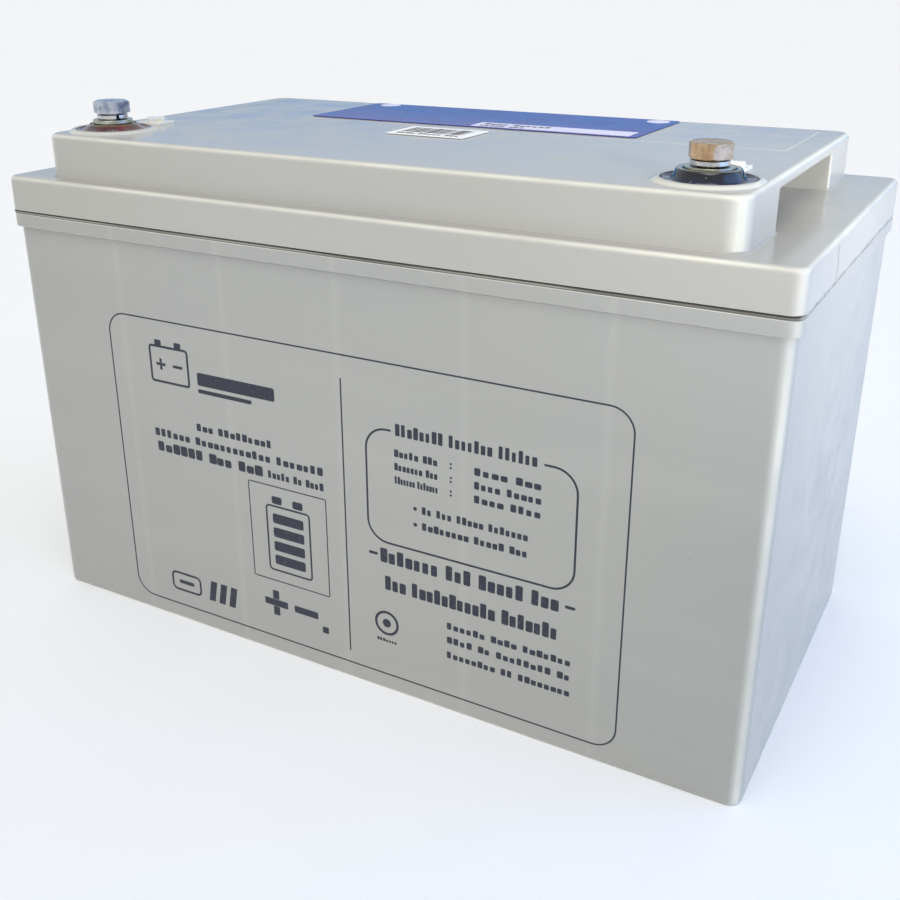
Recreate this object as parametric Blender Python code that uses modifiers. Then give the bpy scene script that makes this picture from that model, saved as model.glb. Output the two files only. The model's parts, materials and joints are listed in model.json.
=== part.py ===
"""Deep cycle battery: a sealed 12 V gel battery of six cells, modelled piece by piece.

Units are metres. +Z is up, +X runs along the length, and the two terminals are near the
-Y side, the positive one at -X. The origin is the centre of the underside.
"""

import math

import bmesh
import bpy

# ---------------------------------------------------------------- outside of the battery
LENGTH = 0.330
WIDTH = 0.1725
BLOCK_TOP = 0.2125
FLANGE_TOP = 0.1945
SEAM_HEIGHT = 0.1795
SEAM_GAP = 0.0014
RIM_HEIGHT = 0.0055
BLOCK_INSET_X = 0.0200
BLOCK_INSET_Y = 0.0052
CASE_INSET = 0.0016
CASE_TAPER = 0.0008
FLANGE_CORNER = 0.0050
BLOCK_CORNER = 0.0080
EDGE_RADIUS = 0.0022
BASE_EDGE = 0.0015
WALL = 0.0035
ROOF = 0.0030
PARTITION = 0.0020
GAP = 0.0003
STACK_GAP = 0.0002
CORNER_STEPS = 4
EDGE_STEPS = 2
ROUND_STEPS = 24

# ---------------------------------------------------------------- finger pockets
POCKET_DEPTH = 0.0240
POCKET_HALF_WIDTH = 0.0420
POCKET_ROOF = 0.0040
POCKET_WALL = 0.0025

# ---------------------------------------------------------------- cells and plates
CELLS = 6
NEGATIVE_PLATES = 6
POSITIVE_PLATES = 5
NEGATIVE_THICKNESS = 0.0028
POSITIVE_THICKNESS = 0.0042
PLATE_SPACE = 0.0011
PLATE_HALF_WIDTH = 0.0775
PLATE_TOP = 0.1500
LUG_HALF_WIDTH = 0.0060
STRAP_HALF_LENGTH = 0.0244
STRAP_HALF_WIDTH = 0.0080
STRAP_BOTTOM = 0.1570
STRAP_TOP = 0.1630
UPRIGHT_THICKNESS = 0.0040
UPRIGHT_TOP = 0.1745
SEPARATOR_THICKNESS = 0.0004
SEPARATOR_TOP = 0.1530
LINK_HEIGHT = 0.1685
LINK_RADIUS = 0.0040

# ---------------------------------------------------------------- terminals
TERMINAL_X = 0.1265
TERMINAL_Y = -0.0595
TERMINAL_TOP = BLOCK_TOP + 0.0029
TERMINAL_BOTTOM = 0.1985
TERMINAL_FLANGE_RADIUS = 0.0090
TERMINAL_FLANGE_THICKNESS = 0.0015
TERMINAL_BODY_RADIUS = 0.0070
TERMINAL_HOLE_RADIUS = 0.0041
TERMINAL_HOLE_DEPTH = 0.0135
POLE_RADIUS = 0.0060
WELL_RADIUS = 0.0152
WELL_FLOOR = 0.2020
WELL_FLOOR_THICKNESS = 0.0025
LIP_HEIGHT = 0.0013
LIP_CREST_RADIUS = 0.0159
LIP_BASE_RADIUS = 0.0185
O_RING_THICKNESS = 0.0020
RESIN_STEPS = 5
RESIN_COLLAR = {"positive": 0.0002, "negative": 0.0012}

# ---------------------------------------------------------------- bolt and washers
FLAT_WASHER_RADIUS = 0.0080
FLAT_WASHER_HOLE = 0.0044
FLAT_WASHER_THICKNESS = 0.0016
SPRING_WASHER_RADIUS = 0.0062
SPRING_WASHER_HOLE = 0.0043
SPRING_WASHER_THICKNESS = 0.0018
SPRING_WASHER_SPLIT = 0.0010
HEAD_ACROSS_FLATS = 0.0130
HEAD_HEIGHT = 0.0053
HEAD_CHAMFER = 0.0009
BOLT_LENGTH = 0.0160
SHANK_RADIUS = 0.0037

# ---------------------------------------------------------------- vents, label and marks
COVER_HALF_LENGTH = 0.1335
COVER_FRONT = 0.0140
COVER_REAR = 0.0775
COVER_THICKNESS = 0.0022
GALLERY_HALF_LENGTH = 0.1305
GALLERY_FRONT = 0.0475
GALLERY_REAR = 0.0745
GALLERY_FLOOR = 0.2000
CHIMNEY_Y = 0.0610
CHIMNEY_RADIUS = 0.0040
CHIMNEY_TOP = 0.2060
VENT_HOLE_RADIUS = 0.0020
END_CHIMNEY_X = 0.1225
CAP_RADIUS = 0.0060
CAP_WALL = 0.0017
CAP_TOP = 0.2078
LABEL_X = (-0.0815, 0.0740)
LABEL_Y = (0.0190, 0.0770)
STICKER_X = (-0.0205, 0.0155)
STICKER_Y = (-0.0155, 0.0085)
LABEL_THICKNESS = 0.0002
MARK_Y = -0.0340
MARK_SIZE = (0.0120, 0.0105)
MARK_HEIGHT = 0.0010
SIGN_LENGTH = 0.0090
SIGN_WIDTH = 0.0026
SIGN_HEIGHT = 0.0016

# ---------------------------------------------------------------- worked out from the above
HALF_X = LENGTH / 2
HALF_Y = WIDTH / 2
CASE_TOP = SEAM_HEIGHT - SEAM_GAP / 2
LID_BASE = SEAM_HEIGHT + SEAM_GAP / 2
RIM_BOTTOM = CASE_TOP - RIM_HEIGHT
INNER_X = HALF_X - CASE_INSET - WALL
INNER_Y = HALF_Y - CASE_INSET - WALL
CELL_WIDTH = (2 * INNER_X - (CELLS - 1) * PARTITION) / CELLS
BLOCK_X = HALF_X - BLOCK_INSET_X
BLOCK_Y = HALF_Y - BLOCK_INSET_Y
PLATE_PITCH = NEGATIVE_THICKNESS + POSITIVE_THICKNESS + 2 * PLATE_SPACE
WASHER_BASE = TERMINAL_TOP + STACK_GAP
SPRING_BASE = WASHER_BASE + FLAT_WASHER_THICKNESS + STACK_GAP
HEAD_BASE = SPRING_BASE + SPRING_WASHER_THICKNESS + STACK_GAP

OVERLAP = 0.0010
PASS = 0.0100

# ---------------------------------------------------------------- scene and materials


def clear_scene():
    for item in list(bpy.data.objects):
        bpy.data.objects.remove(item, do_unlink=True)


def make_collection(name):
    collection = bpy.data.collections.new(name)
    bpy.context.scene.collection.children.link(collection)
    return collection


clear_scene()
PARTS = make_collection("deep_cycle_battery")
CUTTERS = make_collection("cutters")


def make_material(name, colour, roughness, metallic=0.0):
    material = bpy.data.materials.new(name)
    material.use_nodes = True
    shader = material.node_tree.nodes["Principled BSDF"]
    shader.inputs["Base Color"].default_value = (*colour, 1.0)
    shader.inputs["Roughness"].default_value = roughness
    shader.inputs["Metallic"].default_value = metallic
    return material


# ---------------------------------------------------------------- modelling helpers


def add_part(name, data, material, location=(0, 0, 0)):
    part = bpy.data.objects.new(name, data)
    part.location = location
    data.materials.append(material)
    PARTS.objects.link(part)
    return part


def add_cutter(name, data, location=(0, 0, 0)):
    cutter = bpy.data.objects.new(name, data)
    cutter.location = location
    cutter.hide_render = True
    cutter.display_type = "WIRE"
    CUTTERS.objects.link(cutter)
    return cutter


def combine(part, other, operation):
    boolean = part.modifiers.new(other.name, "BOOLEAN")
    boolean.operation = operation
    boolean.solver = "EXACT"
    boolean.object = other


def mesh_from(bm, name):
    mesh = bpy.data.meshes.new(name)
    bm.to_mesh(mesh)
    bm.free()
    return mesh


def add_box(bm, x_range, y_range, z_range):
    made = bmesh.ops.create_cube(bm, size=1.0)
    for vert in made["verts"]:
        for axis, (low, high) in enumerate((x_range, y_range, z_range)):
            vert.co[axis] = high if vert.co[axis] > 0 else low


def box_mesh(name, boxes):
    """One mesh of boxes that stand clear of each other, each given as three (low, high) ranges."""
    bm = bmesh.new()
    for x_range, y_range, z_range in boxes:
        add_box(bm, x_range, y_range, z_range)
    return mesh_from(bm, name)


def edges_where(bm, test):
    return [edge for edge in bm.edges if all(test(vert.co) for vert in edge.verts)]


def round_edges(bm, edges, radius, steps):
    bmesh.ops.bevel(bm, geom=edges, offset=radius, segments=steps, profile=0.5, affect="EDGES")


def rounded_block(name, x_range, y_range, z_range, corner, top_edge=0.0, base_edge=0.0, taper=0.0):
    """A block with round upright corners, and round top or base edges, narrower at the base by taper."""
    bm = bmesh.new()
    add_box(bm, x_range, y_range, z_range)
    low, high = z_range
    middle = (low + high) / 2
    upright = [edge for edge in bm.edges if edge.verts[0].co.z != edge.verts[1].co.z]
    round_edges(bm, upright, corner, CORNER_STEPS)
    for vert in bm.verts:
        if vert.co.z < middle:
            vert.co.x -= math.copysign(taper, vert.co.x)
            vert.co.y -= math.copysign(taper, vert.co.y)
    tolerance = 1e-6
    if top_edge:
        round_edges(bm, edges_where(bm, lambda co: co.z > high - tolerance), top_edge, EDGE_STEPS)
    if base_edge:
        round_edges(bm, edges_where(bm, lambda co: co.z < low + tolerance), base_edge, EDGE_STEPS)
    return mesh_from(bm, name)


def cylinder_set(name, radius, axis_points, z_range, steps):
    """One mesh of upright cylinders that stand clear of each other."""
    bm = bmesh.new()
    low, high = z_range
    for x, y in axis_points:
        made = bmesh.ops.create_cone(
            bm, cap_ends=True, segments=steps, radius1=radius, radius2=radius, depth=high - low
        )
        bmesh.ops.translate(bm, verts=made["verts"], vec=(x, y, (low + high) / 2))
    return mesh_from(bm, name)


def profile_mesh(name, points, closed):
    """The outline that a Screw modifier turns, running down its outer side."""
    mesh = bpy.data.meshes.new(name)
    edges = [(index, index + 1) for index in range(len(points) - 1)]
    if closed:
        edges.append((len(points) - 1, 0))
    mesh.from_pydata([(radius, 0.0, height) for radius, height in points], edges, [])
    return mesh


def turn(part, steps=ROUND_STEPS):
    screw = part.modifiers.new("Turn", "SCREW")
    screw.steps = steps
    screw.render_steps = steps
    screw.use_merge_vertices = True
    screw.merge_threshold = 0.00001
    screw.use_smooth_shade = True


def cell_centre(index):
    return -INNER_X + CELL_WIDTH / 2 + index * (CELL_WIDTH + PARTITION)


def cell_range(index):
    return (cell_centre(index) - CELL_WIDTH / 2, cell_centre(index) + CELL_WIDTH / 2)


def positive_side(index):
    """The side, -1 or +1 along Y, where a cell's positive strap lies. It alternates."""
    return -1 if index % 2 == 0 else 1


# ---------------------------------------------------------------- container


def make_case(material):
    body = rounded_block(
        "case",
        (-HALF_X + CASE_INSET, HALF_X - CASE_INSET),
        (-HALF_Y + CASE_INSET, HALF_Y - CASE_INSET),
        (0.0, CASE_TOP - OVERLAP),
        FLANGE_CORNER,
        base_edge=BASE_EDGE,
        taper=CASE_TAPER,
    )
    case = add_part("case", body, material)
    rim = rounded_block(
        "case_rim", (-HALF_X, HALF_X), (-HALF_Y, HALF_Y), (RIM_BOTTOM, CASE_TOP), FLANGE_CORNER
    )
    combine(case, add_cutter("case_rim", rim), "UNION")
    cells = [
        (cell_range(index), (-INNER_Y, INNER_Y), (WALL, CASE_TOP + PASS)) for index in range(CELLS)
    ]
    combine(case, add_cutter("cell_spaces", box_mesh("cell_spaces", cells)), "DIFFERENCE")
    combine(case, add_cutter("link_holes", link_hole_mesh()), "DIFFERENCE")


def link_place(index):
    """Centre of the hole through the partition after the given cell."""
    x = cell_centre(index) + (CELL_WIDTH + PARTITION) / 2
    y = -positive_side(index) * abs(TERMINAL_Y)
    return (x, y, LINK_HEIGHT)


def add_cross_cylinder(bm, centre, radius, length, steps):
    made = bmesh.ops.create_cone(
        bm, cap_ends=True, segments=steps, radius1=radius, radius2=radius, depth=length
    )
    for vert in made["verts"]:
        vert.co = (vert.co.z + centre[0], vert.co.x + centre[1], vert.co.y + centre[2])


def link_hole_mesh():
    bm = bmesh.new()
    for index in range(CELLS - 1):
        add_cross_cylinder(bm, link_place(index), LINK_RADIUS + GAP, 4 * PARTITION, 16)
    return mesh_from(bm, "link_holes")


def make_seal_bead(material):
    """The epoxy between the case and the lid: a flat frame with a bar along each partition."""
    curve = bpy.data.curves.new("lid_seal_bead", "CURVE")
    curve.dimensions = "2D"
    curve.fill_mode = "BOTH"
    curve.extrude = SEAM_GAP / 2 - GAP
    inset = OVERLAP
    add_outline(curve, rounded_outline(HALF_X - inset, HALF_Y - inset, FLANGE_CORNER - inset))
    for index in range(CELLS):
        low, high = cell_range(index)
        add_outline(
            curve,
            [
                (low - GAP, -INNER_Y - GAP),
                (high + GAP, -INNER_Y - GAP),
                (high + GAP, INNER_Y + GAP),
                (low - GAP, INNER_Y + GAP),
            ],
        )
    add_part("lid_seal_bead", curve, material, (0, 0, SEAM_HEIGHT))


def add_outline(curve, points):
    spline = curve.splines.new("POLY")
    spline.points.add(len(points) - 1)
    spline.use_cyclic_u = True
    for point, (x, y) in zip(spline.points, points):
        point.co = (x, y, 0.0, 1.0)


def rounded_outline(half_x, half_y, radius):
    points = []
    for quarter in range(4):
        start = quarter * math.pi / 2
        sign_x = 1 if quarter in (0, 3) else -1
        sign_y = 1 if quarter in (0, 1) else -1
        for step in range(CORNER_STEPS + 1):
            angle = start + step / CORNER_STEPS * math.pi / 2
            x = sign_x * (half_x - radius) + radius * math.cos(angle)
            y = sign_y * (half_y - radius) + radius * math.sin(angle)
            points.append((x, y))
    return points


# ---------------------------------------------------------------- lid


def make_lid(material):
    flange = rounded_block(
        "lid",
        (-HALF_X, HALF_X),
        (-HALF_Y, HALF_Y),
        (LID_BASE, FLANGE_TOP),
        FLANGE_CORNER,
        top_edge=EDGE_RADIUS,
    )
    lid = add_part("lid", flange, material)
    block = rounded_block(
        "lid_block",
        (-BLOCK_X, BLOCK_X),
        (-BLOCK_Y, BLOCK_Y),
        (FLANGE_TOP - 2 * OVERLAP, BLOCK_TOP),
        BLOCK_CORNER,
        top_edge=EDGE_RADIUS,
    )
    combine(lid, add_cutter("lid_block", block), "UNION")
    for side, name in ((-1, "positive"), (1, "negative")):
        combine(lid, terminal_seat(name, side), "UNION")
        combine(lid, add_cutter(name + "_mark", mark_mesh(name), (side * TERMINAL_X, MARK_Y, 0)), "UNION")
        combine(lid, terminal_well(name, side), "DIFFERENCE")
    combine(lid, add_cutter("finger_pockets", pocket_mesh()), "DIFFERENCE")
    combine(lid, add_cutter("cover_recess", cover_recess_mesh()), "DIFFERENCE")
    combine(lid, add_cutter("vent_gallery", gallery_mesh()), "DIFFERENCE")
    chimneys = cylinder_set(
        "vent_chimneys", CHIMNEY_RADIUS, chimney_places(), (GALLERY_FLOOR - OVERLAP, CHIMNEY_TOP), 16
    )
    combine(lid, add_cutter("vent_chimneys", chimneys), "UNION")
    holes = cylinder_set(
        "vent_holes", VENT_HOLE_RADIUS, chimney_places(), (FLANGE_TOP - PASS, CHIMNEY_TOP + PASS), 12
    )
    combine(lid, add_cutter("vent_holes", holes), "DIFFERENCE")
    combine(lid, add_cutter("skirt_spaces", skirt_space_mesh()), "DIFFERENCE")
    combine(lid, add_cutter("block_spaces", block_space_mesh()), "DIFFERENCE")


def terminal_seat(name, side):
    """The raised lip round a terminal well, as a solid disc that the well then cuts."""
    profile = [
        (0.0, BLOCK_TOP + LIP_HEIGHT),
        (LIP_CREST_RADIUS, BLOCK_TOP + LIP_HEIGHT),
        (LIP_CREST_RADIUS + 0.25 * (LIP_BASE_RADIUS - LIP_CREST_RADIUS), BLOCK_TOP + 0.75 * LIP_HEIGHT),
        (LIP_BASE_RADIUS, BLOCK_TOP),
        (LIP_BASE_RADIUS, BLOCK_TOP - LIP_HEIGHT),
        (0.0, BLOCK_TOP - LIP_HEIGHT),
    ]
    seat = add_cutter(name + "_seat", profile_mesh(name + "_seat", profile, False))
    seat.location = (side * TERMINAL_X, TERMINAL_Y, 0)
    turn(seat)
    return seat


def terminal_well(name, side):
    hole = TERMINAL_BODY_RADIUS + GAP
    profile = [
        (0.0, BLOCK_TOP + PASS),
        (WELL_RADIUS, BLOCK_TOP + PASS),
        (WELL_RADIUS, WELL_FLOOR),
        (hole, WELL_FLOOR),
        (hole, WELL_FLOOR - PASS),
        (0.0, WELL_FLOOR - PASS),
    ]
    well = add_cutter(name + "_well", profile_mesh(name + "_well", profile, False))
    well.location = (side * TERMINAL_X, TERMINAL_Y, 0)
    turn(well)
    return well


def mark_mesh(name):
    """A raised tile with the plus or minus sign of the terminal standing on it."""
    bm = bmesh.new()
    half_x, half_y = MARK_SIZE[0] / 2, MARK_SIZE[1] / 2
    base = BLOCK_TOP - OVERLAP
    add_box(bm, (-half_x, half_x), (-half_y, half_y), (base, BLOCK_TOP + MARK_HEIGHT))
    tile = add_cutter(name + "_tile", mesh_from(bm, name + "_tile"))
    top = BLOCK_TOP + MARK_HEIGHT + SIGN_HEIGHT
    long, short = SIGN_LENGTH / 2, SIGN_WIDTH / 2
    bars = [((-long, long), (-short, short), (BLOCK_TOP, top))]
    if name == "positive":
        bars.append(((-short, short), (-long, long), (BLOCK_TOP - OVERLAP / 2, top)))
    for index, bar in enumerate(bars):
        bar_name = f"{name}_bar_{index + 1}"
        combine(tile, add_cutter(bar_name, box_mesh(bar_name, [bar])), "UNION")
    return finished_mesh(tile)


def finished_mesh(source):
    """The mesh of an object with its modifiers applied. The object and its tools are removed."""
    graph = bpy.context.evaluated_depsgraph_get()
    mesh = bpy.data.meshes.new_from_object(source.evaluated_get(graph))
    for tool in [modifier.object for modifier in source.modifiers if modifier.type == "BOOLEAN"]:
        bpy.data.objects.remove(tool, do_unlink=True)
    bpy.data.objects.remove(source, do_unlink=True)
    return mesh


def pocket_mesh():
    """The finger pockets: one in each end of the block, just under its top."""
    inner = BLOCK_X - POCKET_DEPTH
    outer = BLOCK_X + OVERLAP
    across = (-POCKET_HALF_WIDTH, POCKET_HALF_WIDTH)
    upright = (FLANGE_TOP - GAP, BLOCK_TOP - POCKET_ROOF)
    return box_mesh("finger_pockets", [((-outer, -inner), across, upright), ((inner, outer), across, upright)])


def cover_recess_mesh():
    return rounded_block(
        "cover_recess",
        (-COVER_HALF_LENGTH - GAP, COVER_HALF_LENGTH + GAP),
        (COVER_FRONT - GAP, COVER_REAR + GAP),
        (BLOCK_TOP - COVER_THICKNESS - GAP, BLOCK_TOP + PASS),
        ROOF,
    )


def gallery_mesh():
    half = GALLERY_HALF_LENGTH
    return box_mesh(
        "vent_gallery",
        [((-half, half), (GALLERY_FRONT, GALLERY_REAR), (GALLERY_FLOOR, BLOCK_TOP + PASS))],
    )


def chimney_places():
    places = []
    for index in range(CELLS):
        x = cell_centre(index)
        if index in (0, CELLS - 1):
            x = math.copysign(END_CHIMNEY_X, x)
        places.append((x, CHIMNEY_Y))
    return places


def skirt_space_mesh():
    boxes = [
        (cell_range(index), (-INNER_Y, INNER_Y), (LID_BASE - PASS, FLANGE_TOP - ROOF))
        for index in range(CELLS)
    ]
    return box_mesh("skirt_spaces", boxes)


def block_space_mesh():
    """Space inside the raised block: above each cell, and round the wells, pockets and gallery."""
    low = FLANGE_TOP - 2 * ROOF
    front = -BLOCK_Y + ROOF
    gallery_wall = GALLERY_FRONT - ROOF
    rear = (GALLERY_FRONT, BLOCK_Y - ROOF)
    boxes = []
    for index in range(CELLS):
        start, end = cell_range(index)
        outer = BLOCK_X - ROOF
        start = max(start, -outer)
        end = min(end, outer)
        boxes.append(((start, end), rear, (low, GALLERY_FLOOR - ROOF)))
        if index in (0, CELLS - 1):
            well_rear = -POCKET_HALF_WIDTH - POCKET_WALL
            boxes.append(((start, end), (front, well_rear), (low, WELL_FLOOR - WELL_FLOOR_THICKNESS)))
            beside_pocket = BLOCK_X - POCKET_DEPTH - POCKET_WALL
            beside = (max(start, -beside_pocket), min(end, beside_pocket))
            boxes.append((beside, (well_rear + PARTITION, gallery_wall), (low, BLOCK_TOP - ROOF)))
        else:
            boxes.append(((start, end), (front, gallery_wall), (low, BLOCK_TOP - ROOF)))
    return box_mesh("block_spaces", boxes)


def make_vent_cover(material):
    cover = rounded_block(
        "vent_cover",
        (-COVER_HALF_LENGTH, COVER_HALF_LENGTH),
        (COVER_FRONT, COVER_REAR),
        (BLOCK_TOP - COVER_THICKNESS, BLOCK_TOP),
        ROOF,
    )
    add_part("vent_cover", cover, material)


def make_valve_caps(material):
    """A rubber cup over each chimney. It lifts its own skirt to let gas out."""
    inner = CAP_RADIUS - CAP_WALL
    profile = [
        (0.0, CAP_TOP),
        (CAP_RADIUS, CAP_TOP),
        (CAP_RADIUS, GALLERY_FLOOR + GAP),
        (inner, GALLERY_FLOOR + GAP),
        (inner, CHIMNEY_TOP + GAP),
        (0.0, CHIMNEY_TOP + GAP),
    ]
    for number, (x, y) in enumerate(chimney_places(), start=1):
        name = f"valve_cap_{number}"
        cap = add_part(name, profile_mesh(name, profile, False), material, (x, y, 0))
        turn(cap, 16)


# ---------------------------------------------------------------- plates, separators and links


def plate_offsets(count):
    return [(index - (count - 1) / 2) * PLATE_PITCH for index in range(count)]


def make_plate_group(name, cell, side, count, thickness, upright_end, material):
    """The plates of one polarity in one cell, their lugs, and the strap cast over the lugs.

    upright_end is the end of the strap, -1 or +1 along X, whose upright meets the next
    cell's through the partition, or 0 where the strap carries a terminal's pole instead.
    """
    strap_y = side * abs(TERMINAL_Y)
    across_strap = (strap_y - STRAP_HALF_WIDTH, strap_y + STRAP_HALF_WIDTH)
    strap = box_mesh(
        name, [((-STRAP_HALF_LENGTH, STRAP_HALF_LENGTH), across_strap, (STRAP_BOTTOM, STRAP_TOP))]
    )
    group = add_part(name, strap, material, (cell_centre(cell), 0, 0))
    lugs = []
    plates = []
    for offset in plate_offsets(count):
        half = thickness / 2
        lugs.append(
            (
                (offset - half + STACK_GAP, offset + half - STACK_GAP),
                (strap_y - LUG_HALF_WIDTH, strap_y + LUG_HALF_WIDTH),
                (PLATE_TOP - OVERLAP, STRAP_BOTTOM + OVERLAP),
            )
        )
        plates.append(
            ((offset - half, offset + half), (-PLATE_HALF_WIDTH, PLATE_HALF_WIDTH), (WALL + GAP, PLATE_TOP))
        )
    place = (cell_centre(cell), 0, 0)
    combine(group, add_cutter(name + "_lugs", box_mesh(name + "_lugs", lugs), place), "UNION")
    combine(group, add_cutter(name + "_grids", box_mesh(name + "_grids", plates), place), "UNION")
    if upright_end:
        outer = upright_end * STRAP_HALF_LENGTH
        inner = outer - upright_end * UPRIGHT_THICKNESS
        across_upright = (across_strap[0] + STACK_GAP, across_strap[1] - STACK_GAP)
        along = (min(outer, inner), max(outer, inner))
        upright = box_mesh(
            name + "_upright", [(along, across_upright, (STRAP_TOP - OVERLAP, UPRIGHT_TOP))]
        )
        combine(group, add_cutter(name + "_upright", upright, place), "UNION")


def make_separator(name, cell, material):
    """One sheet folded back and forth so that it lies between every two plates of a cell."""
    reach = PLATE_HALF_WIDTH + OVERLAP
    from_negative = NEGATIVE_THICKNESS / 2 + PLATE_SPACE / 2
    runs = []
    for offset in plate_offsets(NEGATIVE_PLATES):
        runs.extend((offset - from_negative, offset + from_negative))
    runs = runs[1:-1]
    path = []
    for index, x in enumerate(runs):
        start = -reach if index % 2 == 0 else reach
        path.extend(((x, start), (x, -start)))
    bottom = WALL + GAP
    vertices = [(x, y, z) for x, y in path for z in (bottom, SEPARATOR_TOP)]
    faces = [(2 * i, 2 * i + 2, 2 * i + 3, 2 * i + 1) for i in range(len(path) - 1)]
    sheet = bpy.data.meshes.new(name)
    sheet.from_pydata(vertices, [], faces)
    separator = add_part(name, sheet, material, (cell_centre(cell), 0, 0))
    thicken = separator.modifiers.new("Thickness", "SOLIDIFY")
    thicken.thickness = SEPARATOR_THICKNESS
    thicken.offset = 0.0
    thicken.use_even_offset = True


def make_cell(cell, positive_material, negative_material, separator_material):
    number = cell + 1
    side = positive_side(cell)
    make_plate_group(
        f"positive_plates_{number}",
        cell,
        side,
        POSITIVE_PLATES,
        POSITIVE_THICKNESS,
        0 if cell == 0 else -1,
        positive_material,
    )
    make_plate_group(
        f"negative_plates_{number}",
        cell,
        -side,
        NEGATIVE_PLATES,
        NEGATIVE_THICKNESS,
        0 if cell == CELLS - 1 else 1,
        negative_material,
    )
    make_separator(f"separator_{number}", cell, separator_material)


def make_links(material):
    """The lead welds that join each strap to the next cell's, through the partition's hole."""
    reach = CELL_WIDTH / 2 + PARTITION / 2 - STRAP_HALF_LENGTH - GAP
    for index in range(CELLS - 1):
        name = f"cell_link_{index + 1}"
        bm = bmesh.new()
        add_cross_cylinder(bm, (0, 0, 0), LINK_RADIUS, 2 * reach, 16)
        add_part(name, mesh_from(bm, name), material, link_place(index))


# ---------------------------------------------------------------- terminals


def make_terminal(name, side, metal, lead, rubber, resin):
    place = (side * TERMINAL_X, TERMINAL_Y, 0)
    flange_base = TERMINAL_TOP - TERMINAL_FLANGE_THICKNESS
    hole_floor = TERMINAL_TOP - TERMINAL_HOLE_DEPTH
    insert = [
        (0.0, hole_floor),
        (TERMINAL_HOLE_RADIUS, hole_floor),
        (TERMINAL_HOLE_RADIUS, TERMINAL_TOP),
        (TERMINAL_FLANGE_RADIUS, TERMINAL_TOP),
        (TERMINAL_FLANGE_RADIUS, flange_base),
        (TERMINAL_BODY_RADIUS, flange_base),
        (TERMINAL_BODY_RADIUS, TERMINAL_BOTTOM),
        (0.0, TERMINAL_BOTTOM),
    ]
    turn(add_part(name + "_terminal", profile_mesh(name + "_terminal", insert, False), metal, place))

    column = cylinder_set(
        name + "_pole", POLE_RADIUS, [(0, 0)], (STRAP_TOP + GAP, TERMINAL_BOTTOM - GAP), ROUND_STEPS
    )
    add_part(name + "_pole", column, lead, place)

    ring_radius = O_RING_THICKNESS / 2
    ring_centre = TERMINAL_BODY_RADIUS + GAP + ring_radius
    ring_height = WELL_FLOOR + GAP + ring_radius
    section = [
        (ring_centre + ring_radius * math.sin(angle), ring_height + ring_radius * math.cos(angle))
        for angle in (step * math.pi / 4 for step in range(8))
    ]
    turn(add_part(name + "_o_ring", profile_mesh(name + "_o_ring", section, True), rubber, place))

    collar_top = TERMINAL_TOP + RESIN_COLLAR[name]
    potting = resin_profile(collar_top, flange_base, ring_height + ring_radius + GAP)
    turn(add_part(name + "_resin", profile_mesh(name + "_resin", potting, True), resin, place))


def resin_profile(collar_top, flange_base, base):
    """Section of the potting resin, whose top hollows as it climbs to the terminal's flange."""
    inner_top = (TERMINAL_FLANGE_RADIUS + GAP, collar_top)
    outer_top = (WELL_RADIUS - GAP, BLOCK_TOP + LIP_HEIGHT - GAP)
    points = []
    for step in range(RESIN_STEPS + 1):
        share = step / RESIN_STEPS
        radius = inner_top[0] + share * (outer_top[0] - inner_top[0])
        height = outer_top[1] + (1 - share) ** 2 * (inner_top[1] - outer_top[1])
        points.append((radius, height))
    points.append((outer_top[0], base))
    points.append((TERMINAL_BODY_RADIUS + GAP, base))
    points.append((TERMINAL_BODY_RADIUS + GAP, flange_base - GAP))
    points.append((inner_top[0], flange_base - GAP))
    return points


def make_fastener(name, side, washer_metal, bolt_metal):
    """The flat washer, spring washer and bolt. Their origins are on the bolt's axis."""
    axis_x = side * TERMINAL_X
    flat = ring_profile(FLAT_WASHER_HOLE, FLAT_WASHER_RADIUS, FLAT_WASHER_THICKNESS)
    flat_name = name + "_flat_washer"
    turn(
        add_part(
            flat_name, profile_mesh(flat_name, flat, True), washer_metal, (axis_x, TERMINAL_Y, WASHER_BASE)
        )
    )

    spring = ring_profile(SPRING_WASHER_HOLE, SPRING_WASHER_RADIUS, SPRING_WASHER_THICKNESS)
    spring_name = name + "_spring_washer"
    place = (axis_x, TERMINAL_Y, SPRING_BASE)
    washer = add_part(spring_name, profile_mesh(spring_name, spring, True), washer_metal, place)
    turn(washer)
    combine(washer, split_cutter(name, place), "DIFFERENCE")

    head_radius = HEAD_ACROSS_FLATS / math.sqrt(3)
    bm = bmesh.new()
    made = bmesh.ops.create_cone(
        bm, cap_ends=True, segments=6, radius1=head_radius, radius2=head_radius, depth=HEAD_HEIGHT
    )
    bmesh.ops.translate(bm, verts=made["verts"], vec=(0, 0, HEAD_HEIGHT / 2))
    place = (axis_x, TERMINAL_Y, HEAD_BASE)
    bolt = add_part(name + "_bolt", mesh_from(bm, name + "_bolt"), bolt_metal, place)
    combine(bolt, head_chamfer(name, place, head_radius), "INTERSECT")
    shank = cylinder_set(name + "_shank", SHANK_RADIUS, [(0, 0)], (-BOLT_LENGTH, OVERLAP), ROUND_STEPS)
    combine(bolt, add_cutter(name + "_shank", shank, place), "UNION")


def ring_profile(inner, outer, height):
    return [(outer, height), (outer, 0.0), (inner, 0.0), (inner, height)]


def split_cutter(name, place):
    """A thin slanting slab that opens the spring washer on its far side."""
    slab = box_mesh(
        name + "_split",
        [
            (
                (-SPRING_WASHER_SPLIT / 2, SPRING_WASHER_SPLIT / 2),
                (0.0, 2 * SPRING_WASHER_RADIUS),
                (-SPRING_WASHER_RADIUS, SPRING_WASHER_RADIUS),
            )
        ],
    )
    cutter = add_cutter(name + "_split", slab, place)
    cutter.rotation_euler = (0.0, math.radians(30), math.radians(180))
    return cutter


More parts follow.
